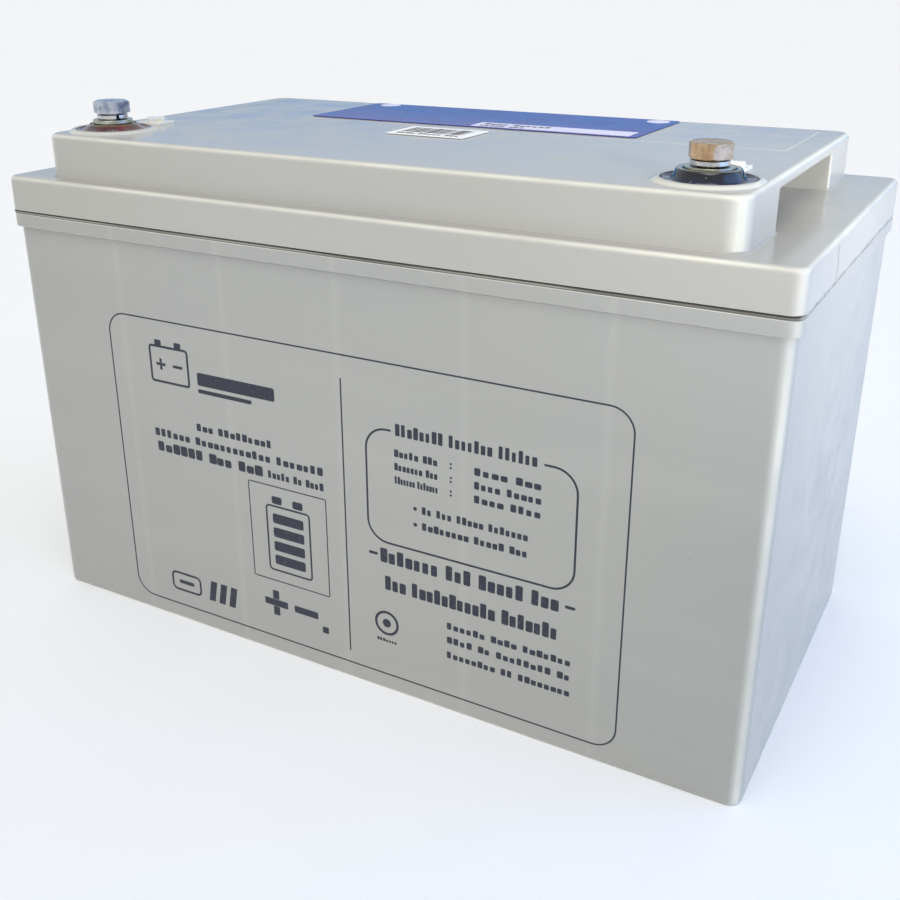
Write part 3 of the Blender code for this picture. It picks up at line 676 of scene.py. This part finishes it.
def lips():
    """The raised lip round each terminal's well. Its foot stops short of the block's round edge."""
    bm = bmesh.new()
    for name, side in SIDES.items():
        middle = centre(name + "_terminal")
        room = BLOCK_X - 0.7 * EDGE_RADIUS - abs(middle.x)

        def foot(angle):
            return min(LIP_BASE_RADIUS, room / max(side * math.cos(angle), 0.5))

        def climbing(share):
            return lambda angle: foot(angle) + (LIP_CREST_RADIUS - foot(angle)) * share

        profile = [(foot, BLOCK_TOP - LIP_HEIGHT), (foot, BLOCK_TOP + 0.02 * MM)]
        for share in shares(11)[1:-1]:
            height = LIP_HEIGHT * (0.5 - 0.5 * math.cos(math.pi * share)) ** 0.8
            profile.append((climbing(share), BLOCK_TOP + height))
        profile.append((WELL_RADIUS - GAP, BLOCK_TOP + LIP_HEIGHT))
        add_turned(bm, profile, middle)
    return mesh_of(bm)


def wells():
    bm = bmesh.new()
    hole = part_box("positive_o_ring")[1].x - centre("positive_o_ring").x - INSERT_FLANGE_REACH
    edge = 0.35 * MM
    top = BLOCK_TOP + LIP_HEIGHT
    profile = [(hole, WELL_FLOOR - PASS), (hole, WELL_FLOOR), (WELL_RADIUS, WELL_FLOOR)]
    profile += [(WELL_RADIUS - inset, z) for inset, z in arc(-edge, top - edge, edge, 0, 90, 4)]
    profile.append((WELL_RADIUS + edge, top + PASS))
    for name in SIDES:
        add_turned(bm, profile, centre(name + "_terminal"))
    return mesh_of(bm)


def pocket_loop(x, grow, side):
    """The pocket's section at x: round upper corners, and a floor level with the flange."""
    half = POCKET_HALF_WIDTH + grow
    top = POCKET_TOP + grow - POCKET_CORNER
    points = [(x, half, FLANGE_TOP)]
    for start, y in ((0, half - POCKET_CORNER), (90, POCKET_CORNER - half)):
        points += [(x, *point) for point in arc(y, top, POCKET_CORNER, start, start + 90)]
    points.append((x, -half, FLANGE_TOP))
    return points if side > 0 else points[::-1]


def pockets():
    """The finger pocket in each end of the block. Its mouth flares and its inner end is round."""
    sections = []
    for inset, rise in arc(POCKET_FLARE, -POCKET_FLARE, POCKET_FLARE, 180, 90, 4):
        sections.append((BLOCK_X - POCKET_DEPTH + inset, rise))
    for inset, rise in arc(-POCKET_FLARE, POCKET_FLARE, POCKET_FLARE, 270, 360):
        sections.append((BLOCK_X + inset, rise))
    sections.append((BLOCK_X + PASS, POCKET_FLARE))
    bm = bmesh.new()
    for side in SIDES.values():
        loft(bm, [pocket_loop(side * x, grow, side) for x, grow in sections])
    return mesh_of(bm)


def cover_recess():
    """The step that the vent cover lies in."""
    x_range, y_range = ((COVER_LOW[axis] - GAP, COVER_HIGH[axis] + GAP) for axis in (0, 1))
    return solid(add_box, x_range, y_range, (COVER_LOW.z - GAP, BLOCK_TOP + PASS), ROOF)


def gallery():
    """The space for the valves, under the vent cover."""
    x_range = (-GALLERY_HALF_LENGTH, GALLERY_HALF_LENGTH)
    z_range = (GALLERY_FLOOR, BLOCK_TOP + PASS)
    return solid(add_box, x_range, (GALLERY_FRONT, GALLERY_REAR), z_range, CELL_CORNER)


def upright_cylinders(radius, low, high):
    """A cylinder at each valve cap."""
    bm = bmesh.new()
    for number in range(1, CELLS + 1):
        add_turned(bm, [(radius, low), (radius, high)], centre(f"valve_cap_{number}"), 40)
    return mesh_of(bm)


def hollow_spaces():
    """The spaces under the lid: above each cell, and round the wells, pockets and gallery."""
    low = FLANGE_TOP - 2 * ROOF
    front = -BLOCK_Y + ROOF
    gallery_wall = GALLERY_FRONT - ROOF
    skirts = bmesh.new()
    upper = bmesh.new()
    for index, (start, end) in enumerate(cell_spans()):
        add_box(skirts, (start, end), (-INNER_Y, INNER_Y), (LID_BASE - PASS, FLANGE_TOP - ROOF))
        start = max(start, -(BLOCK_X - ROOF))
        end = min(end, BLOCK_X - ROOF)
        add_box(upper, (start, end), (GALLERY_FRONT, BLOCK_Y - ROOF), (low, GALLERY_FLOOR - ROOF))
        if index in (0, CELLS - 1):
            well_rear = -POCKET_HALF_WIDTH - POCKET_WALL
            add_box(upper, (start, end), (front, well_rear), (low, WELL_FLOOR - WELL_FLOOR_THICKNESS))
            reach = BLOCK_X - POCKET_DEPTH - POCKET_WALL
            beside = (max(start, -reach), min(end, reach))
            add_box(upper, beside, (well_rear + PARTITION, gallery_wall), (low, BLOCK_TOP - ROOF))
        else:
            add_box(upper, (start, end), (front, gallery_wall), (low, BLOCK_TOP - ROOF))
    return mesh_of(skirts), mesh_of(upper)


def make_lid():
    mesh = combine(lid_body(), lips(), operation="UNION")
    mesh = combine(mesh, wells(), pockets(), cover_recess(), gallery())
    chimneys = upright_cylinders(CHIMNEY_RADIUS, GALLERY_FLOOR - MM, CHIMNEY_TOP)
    holes = upright_cylinders(VENT_HOLE_RADIUS, FLANGE_TOP - PASS, CHIMNEY_TOP + PASS)
    mesh = combine(combine(mesh, chimneys, operation="UNION"), holes, *hollow_spaces())
    make_piece("lid_moulding", mesh, LID_ABS, "lid_abs", "lid")


def make_vent_cover():
    half_x, half_y = ((COVER_HIGH[axis] - COVER_LOW[axis]) / 2 for axis in (0, 1))
    profile = arc(SMALL_EDGE, COVER_LOW.z + SMALL_EDGE, SMALL_EDGE, 270, 180, 3)
    profile += arc(SMALL_EDGE, COVER_HIGH.z - SMALL_EDGE, SMALL_EDGE, 180, 90, 3)
    mesh = solid(loft, stack(half_x, half_y, ROOF, profile, middle=centre("vent_cover")))
    make_piece("vent_cover_plate", mesh, COVER_ABS, "cover_abs", "vent_cover")


def soft_block(half, corner, middle, base, top):
    """A small upright block whose upper edge is round."""
    profile = [(0, base)] + arc(MARK_EDGE, top - MARK_EDGE, MARK_EDGE, 180, 90, 3)
    return solid(loft, stack(*half, corner, profile, 4, middle))


def make_polarity_marks():
    """A raised tile by each terminal with its plus or minus sign."""
    tile_top = BLOCK_TOP + MARK_HEIGHT
    for name, side in SIDES.items():
        middle = (centre(name + "_terminal").x, MARK_Y)
        mesh = soft_block(MARK_HALF, MM, middle, BLOCK_TOP + 0.01 * MM, tile_top)
        for half in (SIGN_HALF, SIGN_HALF[::-1]) if side < 0 else (SIGN_HALF,):
            bar = soft_block(half, 0.5 * MM, middle, tile_top - MARK_EDGE, tile_top + SIGN_HEIGHT)
            mesh = combine(mesh, bar, operation="UNION")
        make_piece(name + "_polarity_mark", mesh, MARK_ABS, "lid_abs")


# ---- terminals and fasteners


def thread_radius(root, crest, z, angle):
    """Radius of a 60 degree thread at a height and an angle. The crest is flat, the root round."""
    phase = (z / THREAD_PITCH - angle / (2 * math.pi)) % 1
    ridge = 1 - abs(2 * phase - 1)
    ridge = min(1, max(0, (ridge - 0.12) / 0.72))
    return root + (crest - root) * ridge


def thread_rings(root, crest, start, end, fade=0.8 * MM):
    """Rings of a thread from start to end, which fades out at both. Root and crest are radii."""
    count = int(abs(end - start) / (THREAD_PITCH / 8))
    rings = []
    for step in range(count + 1):
        z = start + (end - start) * step / count
        run_out = min(1, abs(z - start) / fade, abs(z - end) / fade)
        top = root + (crest - root) * run_out
        rings.append((lambda angle, z=z, top=top: thread_radius(root, top, z, angle), z))
    return rings


def make_terminal(name):
    low, high, middle = span(name + "_terminal")
    top = high.z
    flange = high.x - middle.x
    flange_base = top - INSERT_FLANGE_DEPTH
    body = flange - INSERT_FLANGE_REACH
    edge, chamfer = 0.2 * MM, 0.6 * MM
    hole, thread_depth = 4.1 * MM, 0.35 * MM
    profile = [(body - edge, low.z), (body, low.z + edge), (body, flange_base)]
    profile += [(flange - edge, flange_base), (flange, flange_base + edge)]
    profile += [(flange, top - edge), (flange - edge, top)]
    profile += [(hole + chamfer, top), (hole, top - chamfer)]
    profile += thread_rings(hole + thread_depth, hole, top - 0.7 * MM, top - 12.5 * MM)
    profile += [(hole, top - 13 * MM), (hole - chamfer, top - 13.5 * MM)]
    mesh = solid(add_turned, profile, middle, 48)
    node = name + "_terminal"
    make_piece(name + "_terminal_insert", mesh, TERMINAL_METAL, "tinned_brass", node)


def resin_top(name, share):
    """Height share, 1 at the terminal and 0 at the lip, of the potting's hollow top."""
    if name == "positive":
        return (1 - share) ** 1.7
    climb = max(0, 1 - max(0, share - 0.12) / 0.38)
    return climb * climb * (3 - 2 * climb)


def make_resin(name):
    """The potting. Its top is lumpy, and the black one laps onto its terminal's flange."""
    low, high, middle = span(name + "_resin")
    outer = high.x - middle.x
    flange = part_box(name + "_terminal")[1]
    inner = flange.x - middle.x + GAP
    rim = BLOCK_TOP + LIP_HEIGHT - 0.9 * MM
    if name == "positive":
        material, slot, amount = RED_RESIN, "red_resin", 0.12 * MM
    else:
        material, slot, amount = BLACK_RESIN, "black_resin", 0.34 * MM
    section = []
    for share in shares(16):
        meniscus = 0.7 * MM * max(0, (share - 0.86) / 0.14) ** 2
        height = rim + resin_top(name, share) * (high.z - rim) + meniscus
        section.append((inner + share * (outer - inner), height))
    body = inner - INSERT_FLANGE_REACH
    flange_base = flange.z - INSERT_FLANGE_DEPTH - GAP
    section += [(outer, low.z), (body, low.z), (body, flange_base), (inner, flange_base)]
    if name == "negative":
        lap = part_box(name + "_flat_washer")[1].x - middle.x + 0.2 * MM
        rest = flange.z + 0.02 * MM
        section += [(inner, rest), (lap, rest), (lap, high.z - 0.25 * MM), (lap + 0.25 * MM, high.z)]

    def lumpy(radius, z, angle):
        share = (radius - inner) / (outer - inner)
        if z < rim - 0.1 * MM or share <= 0.01 or share >= 0.99:
            return radius, z
        place = Vector((math.cos(angle) * radius, math.sin(angle) * radius, 0.01 * SIDES[name])) * 330
        window = math.sin(math.pi * share) ** 0.6
        return radius, min(z + amount * window * noise.noise(place), high.z)

    mesh = solid(add_ring, section, middle, shape=lumpy)
    make_piece(name + "_potting", mesh, material, slot, name + "_resin", sharp=50)


def rounded_section(inner, outer, low, high, edge, steps=4):
    """A (radius, z) section with round edges, clockwise from its inner lower corner."""
    corners = ((inner + edge, low + edge, 270), (inner + edge, high - edge, 180))
    corners += ((outer - edge, high - edge, 90), (outer - edge, low + edge, 0))
    return [point for x, z, start in corners for point in arc(x, z, edge, start, start - 90, steps)]


def make_flat_washer(name):
    low, high, middle = span(name + "_flat_washer")
    bore = 4.4 * MM
    section = rounded_section(bore, high.x - middle.x, low.z, high.z, 0.25 * MM)
    mesh = solid(add_ring, section, middle)
    node = name + "_flat_washer"
    make_piece(name + "_washer", mesh, WASHER_STEEL, "zinc_steel", node, body=name + "_washers")


def make_spring_washer(name, split_angle):
    """A split ring of one turn of square wire, pressed nearly flat, its ends a little apart."""
    low, high, middle = span(name + "_spring_washer")
    inner, outer, edge = 4.3 * MM, 6.2 * MM, 0.28 * MM
    offset = 0.16 * MM
    half_gap = math.radians(6)
    section = rounded_section(inner, outer, low.z + offset / 2, high.z - offset / 2, edge, 3)[::-1]
    loops = []
    for share in shares(88):
        angle = split_angle - half_gap - share * (2 * math.pi - 2 * half_gap)
        shift = offset * (share - 0.5)
        loops.append([around(middle, radius, angle, z + shift) for radius, z in section])
    mesh = solid(loft, loops)
    node = name + "_spring_washer"
    make_piece(name + "_split_washer", mesh, SPRING_STEEL, "zinc_steel", node, body=name + "_washers")


def make_bolt(name, facet_angle, material, slot):
    """A hexagon bolt: chamfered head, washer face, rolled thread and a chamfered point."""
    low, high, middle = span(name + "_bolt")
    head_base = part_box(name + "_spring_washer")[1].z + 0.2 * MM
    half_flats = 6.5 * MM
    chamfer_radius = 6.15 * MM
    face_radius, face_height = 5.9 * MM, 0.3 * MM
    root, crest, neck = 3.25 * MM, 3.95 * MM, 3.9 * MM

    def hexagon(angle):
        turn = (angle - facet_angle + math.pi / 6) % (math.pi / 3) - math.pi / 6
        return half_flats / math.cos(turn)

    def shoulder(angle):
        return high.z - max(0, hexagon(angle) - chamfer_radius) * math.tan(math.radians(30))

    def skirt(angle):
        return head_base + face_height + max(0, hexagon(angle) - half_flats - 0.3 * MM) * 0.5

    profile = [(root - 0.7 * MM, low.z), (root, low.z + 0.7 * MM)]
    profile += thread_rings(root, crest, low.z + 0.8 * MM, head_base - 1.2 * MM)
    profile += [(root + 0.1 * MM, head_base - 0.9 * MM), (neck, head_base - 0.6 * MM)]
    profile += [(neck, head_base), (face_radius, head_base)]
    profile += [(face_radius + 0.1 * MM, head_base + face_height)]
    profile += [(hexagon, skirt), (hexagon, shoulder), (chamfer_radius - 0.1 * MM, high.z)]
    profile += [(4.2 * MM, high.z), (3.8 * MM, high.z - 0.12 * MM), (1 * MM, high.z - 0.14 * MM)]
    mesh = solid(add_turned, profile, middle)
    make_piece(name + "_hex_bolt", mesh, material, slot, name + "_bolt", body=name + "_bolt")


# ---- printing and labels
INK_THICKNESS = 0.05 * MM
INK_LIFT = 0.01 * MM
INK_TOP = INK_LIFT + INK_THICKNESS


def in_metres(points):
    return [(x * MM, y * MM) for x, y, *_ in points]


def level_place(z):
    return lambda x, y, lift: (x, y, z + lift)


class Printing:
    """Thin closed shapes laid on a face. place(x, y, lift) gives a point in the frame's axes."""

    def __init__(self, place, seed=0):
        self.bm = bmesh.new()
        self.place = place
        self.rng = random.Random(seed)

    def plate(self, outline):
        """A filled shape, its outline anticlockwise."""
        loft(self.bm, [[self.place(x, y, lift) for x, y in outline] for lift in (INK_LIFT, INK_TOP)])

    def ribbon(self, path, width, closed=False):
        """A line of even width along a path."""
        loops = []
        first, last = (path[-1], path[0]) if closed else (path[0], path[-1])
        for before, (x, y), after in zip([first, *path], path, [*path[1:], last]):
            along = Vector((after[0] - before[0], after[1] - before[1])).normalized()
            across = Vector((-along.y, along.x)) * (width / 2)
            right = (x - across.x, y - across.y)
            left = (x + across.x, y + across.y)
            corners = ((right, INK_LIFT), (left, INK_LIFT), (left, INK_TOP), (right, INK_TOP))
            loops.append([self.place(*point, lift) for point, lift in corners])
        loft(self.bm, loops, closed)

    # The sizes and places below are in millimetres.

    def dot(self, x, y, radius, steps=40):
        self.plate(in_metres(circle(x, y, radius, steps)))

    def bar(self, x_range, y_range, radius):
        """A filled bar with round corners."""
        self.plate(in_metres(panel(x_range, y_range, radius)))

    def frame(self, x_range, y_range, radius, width, steps=8):
        """The outline of a rounded rectangle."""
        self.ribbon(in_metres(panel(x_range, y_range, radius, steps=steps)), width * MM, closed=True)

    def sign(self, x, y, half_length, half_width, radius, plus):
        """A plus or a minus sign. The upright of a plus is in two parts."""
        self.bar((x - half_length, x + half_length), (y - half_width, y + half_width), radius)
        if plus:
            near = half_width + radius / 2
            for y_range in ((y - half_length, y - near), (y + near, y + half_length)):
                self.bar((x - half_width, x + half_width), y_range, radius)

    def words(self, x_range, y, height, lengths, weight=0.62):
        """A line of stand-in words: plain blocks of uneven height, with no letters in it.

        lengths is the number of blocks in each word. The line is fitted to x_range.
        """
        units = sum(lengths) + 0.7 * (len(lengths) - 1)
        pitch = (x_range[1] - x_range[0]) / units
        x = x_range[0]
        for length in lengths:
            for index in range(length):
                tall = index == 0 or self.rng.random() < 0.25
                top = y + height * (1 if tall else 0.74)
                width = pitch * (weight + 0.22 * self.rng.random())
                self.bar((x, x + width), (y, top), min(width, height) * 0.2)
                x += pitch
            x += 0.7 * pitch

    def piece(self, name, material, slot):
        make_piece(name, mesh_of(self.bm), material, slot)


def front_place(x, z, lift):
    """A point on the case's front face, which leans out a little towards the top."""
    share = (z - BASE_EDGE) / (RIM_BOTTOM - BASE_EDGE)
    inset = CASE_INSET + CASE_TAPER * (1 - share)
    return (x, -(HALF_Y - inset) - lift, z)


def print_battery_symbol(ink, x_range, z_range, width):
    """A plain battery: its outline, two terminals, and a plus and a minus sign."""
    left, right = x_range
    low, high = z_range
    body_top = high - 3
    ink.frame(x_range, (low, body_top), 1.2, width)
    for x in (left + 3, right - 6.5):
        ink.bar((x, x + 3.5), (body_top + 0.4, high - 0.2), 0.5)
    for x, plus in ((left + 5.5, True), (right - 5.5, False)):
        ink.sign(x, (low + body_top) / 2, 2.5, 0.6, 0.2, plus)


def print_left_half(ink):
    print_battery_symbol(ink, (-94, -74), (115, 133.5), 1)
    ink.bar((-69.4, -30.4), (116.8, 122.4), 0.8)
    ink.bar((-69.4, -42), (113.5, 115.2), 0.5)
    ink.words((-72, -32.6), 96.2, 3.3, (3, 9))
    ink.words((-95.5, -8.1), 89.6, 3.5, (6, 12, 7))
    ink.words((-94.7, -38.5), 82.6, 4.5, (6, 3, 3), 0.74)
    ink.words((-36, -8.4), 83, 3.3, (5, 2, 4))
    ink.frame((-46.5, -8.1), (35.3, 79.5), 0.6, 0.45, 3)
    ink.frame((-38, -16.6), (40.5, 70.5), 1.6, 0.8)
    for x in (-35, -24.6):
        ink.bar((x, x + 5), (71.6, 75), 0.8)
    for step in range(4):
        ink.bar((-35, -19.6), (43.5 + 6.4 * step, 47.9 + 6.4 * step), 0.8)
    ink.frame((-94.2, -78.2), (15, 23.6), 2.2, 1)
    ink.bar((-90.4, -82), (18.4, 20.2), 0.6)
    for step in range(3):
        start = -73.6 + 5.6 * step
        shape = ((start, 14.5), (start + 3.4, 14.5), (start + 5.2, 24.5), (start + 1.8, 24.5))
        ink.plate(in_metres(shape))
    ink.sign(-36, 24.2, 6, 1.6, 0.4, True)
    ink.sign(-20.5, 24.2, 6, 1.6, 0.4, False)
    ink.bar((-12.4, -9.4), (17, 20), 0.4)


def print_right_half(ink):
    gap_left, gap_right, top = 22.9, 85, 115.5
    loop = panel((11.8, 97.8), (68, top), 9, steps=10)
    start = next(index for index, point in enumerate(loop) if point[0] < gap_left)
    path = [(gap_left, top)] + loop[start:] + loop[:start] + [(gap_right, top)]
    ink.ribbon(in_metres(path), 0.8 * MM)
    ink.words((24.9, 83), 114, 4.8, (8, 7, 6), 0.55)
    for z, label, value in ((105.4, (5, 3), (4, 3)), (99.9, (7, 3), (4, 5)), (94.4, (7, 7), (4, 4))):
        ink.words((24.3, 43.1), z, 3, label)
        for low in (z + 0.2, z + 1.8):
            ink.bar((47.9, 48.7), (low, low + 0.8), 0.2)
        ink.words((57.9, 84.9), z, 3, value)
    for z, words in ((84.2, (2, 3, 5, 7)), (77.5, (8, 5, 3))):
        ink.dot(33, z + 1.6, 0.8, 16)
        ink.words((36, 80), z, 3.1, words)
    ink.words((17, 93), 59, 6.2, (7, 3, 5, 3), 0.66)
    for x in (11.8, 94.8):
        ink.bar((x, x + 4), (61.4, 62.6), 0.5)
    ink.words((18.9, 92.9), 47, 6.2, (3, 11, 7), 0.66)
    ink.ribbon(in_metres(circle(19.2, 31.4, 5)), 1.1 * MM, closed=True)
    ink.dot(19.2, 31.4, 1.9, 24)
    ink.words((14.5, 24), 22.6, 1.4, (7,))
    for z, words in ((37.5, (6, 4, 7)), (31.2, (4, 2, 8, 2)), (24.4, (8, 2, 8))):
        ink.words((46.6, 98.5), z, 2.9, words)


def make_front_print():
    ink = Printing(front_place, seed=11)
    ink.frame((-115.8, 116.5), (7.3, 141.8), 9, 0.6, 10)
    ink.bar((0.9, 1.5), (12.9, 132.4), 0.1)
    print_left_half(ink)
    print_right_half(ink)
    ink.piece("front_print", INK, "case_abs")


def make_sheet(name, low, high, radius, material, slot, node):
    """A thin flat sheet with round corners, its edge eased."""
    middle = ((low.x + high.x) / 2, (low.y + high.y) / 2)
    half_x, half_y = (high.x - low.x) / 2, (high.y - low.y) / 2
    thickness = high.z - low.z
    edge = thickness * 0.3
    profile = ((0, low.z), (0, low.z + thickness - edge), (edge, low.z + thickness))
    mesh = solid(loft, stack(half_x, half_y, radius, profile, 6, middle))
    make_piece(name, mesh, material, slot, node)


def make_top_label():
    make_sheet("label_film_sheet", LABEL_LOW, LABEL_HIGH, 2 * MM, LABEL, "blue_label", "top_label")
    left, right = LABEL_LOW.x / MM, LABEL_HIGH.x / MM
    front, rear = LABEL_LOW.y / MM, LABEL_HIGH.y / MM
    pale = Printing(level_place(LABEL_HIGH.z))
    pale.bar((-0.5, right - 3.5), (front + 1.8, front + 14.3), 0.6)
    pale.dot(left + 10.5, rear - 5.5, 5)
    pale.dot(right - 8, rear - 6.5, 5)
    pale.piece("label_pale_print", STRIP, "blue_label")
    dark = Printing(level_place(LABEL_HIGH.z + INK_THICKNESS), seed=5)
    dark.words((3, 34), front + 8.4, 3.6, (4, 6))
    dark.words((3, 24), front + 3.6, 2.6, (5, 3))
    dark.piece("label_dark_print", INK, "blue_label")


def make_sticker():
    node = "barcode_sticker"
    make_sheet("bar_sticker_paper", STICKER_LOW, STICKER_HIGH, 1.2 * MM, STICKER, "white_sticker", node)
    bars = Printing(level_place(STICKER_HIGH.z), seed=23)
    left, right = STICKER_LOW.x / MM + 3.5, STICKER_HIGH.x / MM - 3.5
    front = STICKER_LOW.y / MM
    x = left
    while x < right - 1:
        width = bars.rng.choice((0.35, 0.35, 0.7, 1.05))
        bars.bar((x, x + width), (front + 7.5, front + 20.5), 0.05)
        x += width + bars.rng.choice((0.35, 0.35, 0.7, 1))
    bars.words((left, right), front + 3, 2.6, (4, 5, 3))
    bars.piece("bar_sticker_print", STICKER_INK, "white_sticker")


def make_glue_line():
    """The fine brown run of glue down the right end of the flange."""
    rng = random.Random(3)
    low = LID_BASE + 0.6 * MM
    high = FLANGE_TOP - EDGE_RADIUS
    x, crest_x = HALF_X + INK_LIFT, HALF_X + 0.06 * MM
    loops = []
    for share in shares(14):
        z = low + (high - low) * share
        y = -40 * MM + 1.2 * MM * math.sin(5 * share) + rng.uniform(-0.15, 0.15) * MM
        half = rng.uniform(0.18, 0.45) * MM * (0.5 + 0.5 * share)
        loops.append([(x, y - half, z), (crest_x, y, z), (x, y + half, z)])
    make_piece("glue_run", solid(loft, loops), GLUE, "dark_epoxy")


# ---- CAD nodes that stay as they are


def dress_frame():
    finishes = {"_o_ring": O_RING_RUBBER, "_pole": LEAD, "cell_link_": LEAD, "valve_cap_": RUBBER}
    finishes |= {"positive_plates_": POSITIVE_PASTE, "negative_plates_": NEGATIVE_PASTE}
    finishes["separator_"] = FLEECE
    for node, piece in frame["nodes"].items():
        for part, material in finishes.items():
            if part in node:
                for slot in piece.material_slots:
                    slot.material = material


# ---- stage, light and camera


def make_floor():
    look = Shader("pale_floor", srgb(246, 246, 246), srgb(250, 250, 249), (3, 3))
    look.roughen((20,), 0.6, 0.75)
    mesh = solid(bmesh.ops.create_grid, x_segments=1, y_segments=1, size=40)
    mesh.materials.append(look.finish())
    floor = add_object("floor", mesh)


HORIZON_WHITE = (0.93, 0.945, 0.97, 1)
ZENITH_WHITE = (0.60, 0.61, 0.63, 1)
REAR_BLUE = (0.01, 0.27, 0.72, 1)
REAR_WHITE = (0.74, 0.82, 0.88, 1)
WARM_WHITE = (1, 0.985, 0.96)
CARD_BLUE = (0.04, 0.34, 1)
REAR_DIRECTION = Vector((-0.5, 0.87, 0)).normalized()


def place_light(name, kind, power, colour, place, target, **settings):
    """Links a light that shines at the target. The camera doesn't see its card."""
    data = bpy.data.lights.new(name, kind)
    data.energy = power
    data.color = colour
    for key, value in settings.items():
        setattr(data, key, value)
    light = add_object(name, data)
    light.location = place
    light.rotation_euler = (Vector(target) - Vector(place)).to_track_quat("-Z", "Y").to_euler()
    light.visible_camera = False
    return light


def make_spot(name, power, place, target, cone):
    """A soft-edged spot that lights without a glare."""
    settings = {"spot_size": math.radians(cone), "spot_blend": 1, "shadow_soft_size": 0.08}
    place_light(name, "SPOT", power, WARM_WHITE, place, target, **settings).visible_glossy = False


def make_world():
    """A plain white studio. Only glossy surfaces also mirror a blue strip low at its rear."""
    world = bpy.data.worlds.new("studio")
    world.use_nodes = True
    nodes = Nodes(world.node_tree)
    direction = nodes.add("ShaderNodeTexCoord")["Generated"]
    height = nodes.parts(direction)["Z"]
    inputs = {0: direction, 1: REAR_DIRECTION}
    rearward = nodes.add("ShaderNodeVectorMath", inputs, operation="DOT_PRODUCT")["Value"]

    def blend(value, low, high, first, second):
        return nodes.mix(nodes.spread(value, low, high, kind="SMOOTHSTEP"), first, second)

    plain = blend(height, 0.05, 0.75, HORIZON_WHITE, ZENITH_WHITE)
    strip = blend(height, 0.110, 0.170, REAR_BLUE, REAR_WHITE)
    mirrored = blend(rearward, 0.20, 0.60, plain, strip)
    glossy = nodes.add("ShaderNodeLightPath")["Is Glossy Ray"]
    background = nodes.tree.nodes["Background"]
    nodes.tree.links.new(nodes.mix(glossy, plain, mirrored), background.inputs["Color"])
    bpy.context.scene.world = world


def make_lights():
    """A soft key, faint spots on the upper front and the right end, and a blue card to the right."""
    key = {"angle": math.radians(40)}
    card = {"shape": "RECTANGLE", "size": 1.3, "size_y": 0.8}
    place_light("soft_key", "SUN", 1.10, WARM_WHITE, (0.12, -0.38, 0.92), (0, 0, 0), **key)
    make_spot("front_spot", 14, (0.30, -1.10, 0.75), (0.02, -0.08, 0.20), 20)
    make_spot("end_spot", 62, (0.85, -0.55, 0.40), (0.138, 0.02, 0.206), 11)
    place_light("right_card", "AREA", 5, CARD_BLUE, (1, 0.15, 0.42), (0.16, 0, 0.10), **card)
    bpy.context.scene.view_settings.view_transform = "Standard"


def make_camera():
    """The photograph's viewpoint, from fitting a pinhole camera to the battery's edges."""
    azimuth, elevation, roll = (math.radians(angle) for angle in (29.58, 21, -0.2))
    data = bpy.data.cameras.new("camera")
    data.sensor_width = 36
    data.lens = 44
    data.shift_x = 0.01674
    data.shift_y = -0.05964
    camera = add_object("camera", data)
    turn = Matrix.Rotation(azimuth, 4, "Z") @ Matrix.Rotation(math.pi / 2 - elevation, 4, "X")
    place = Matrix.Translation((0.2224, -0.4025, 0.2731))
    camera.matrix_world = place @ turn @ Matrix.Rotation(roll, 4, "Z")
    bpy.context.scene.camera = camera


# ---- build

make_camera()
make_case()
make_seal_bead()
make_lid()
make_vent_cover()
make_polarity_marks()
for side_name in SIDES:
    make_terminal(side_name)
    make_resin(side_name)
    make_flat_washer(side_name)
make_spring_washer("positive", math.radians(-25))
make_spring_washer("negative", math.radians(150))
make_bolt("positive", math.radians(6), SILVER_BOLT, "bolt_zinc")
make_bolt("negative", math.radians(22.2), WARM_BOLT, "bolt_yellow_zinc")
make_front_print()
make_top_label()
make_sticker()
make_glue_line()
dress_frame()
make_floor()
make_world()
make_lights()
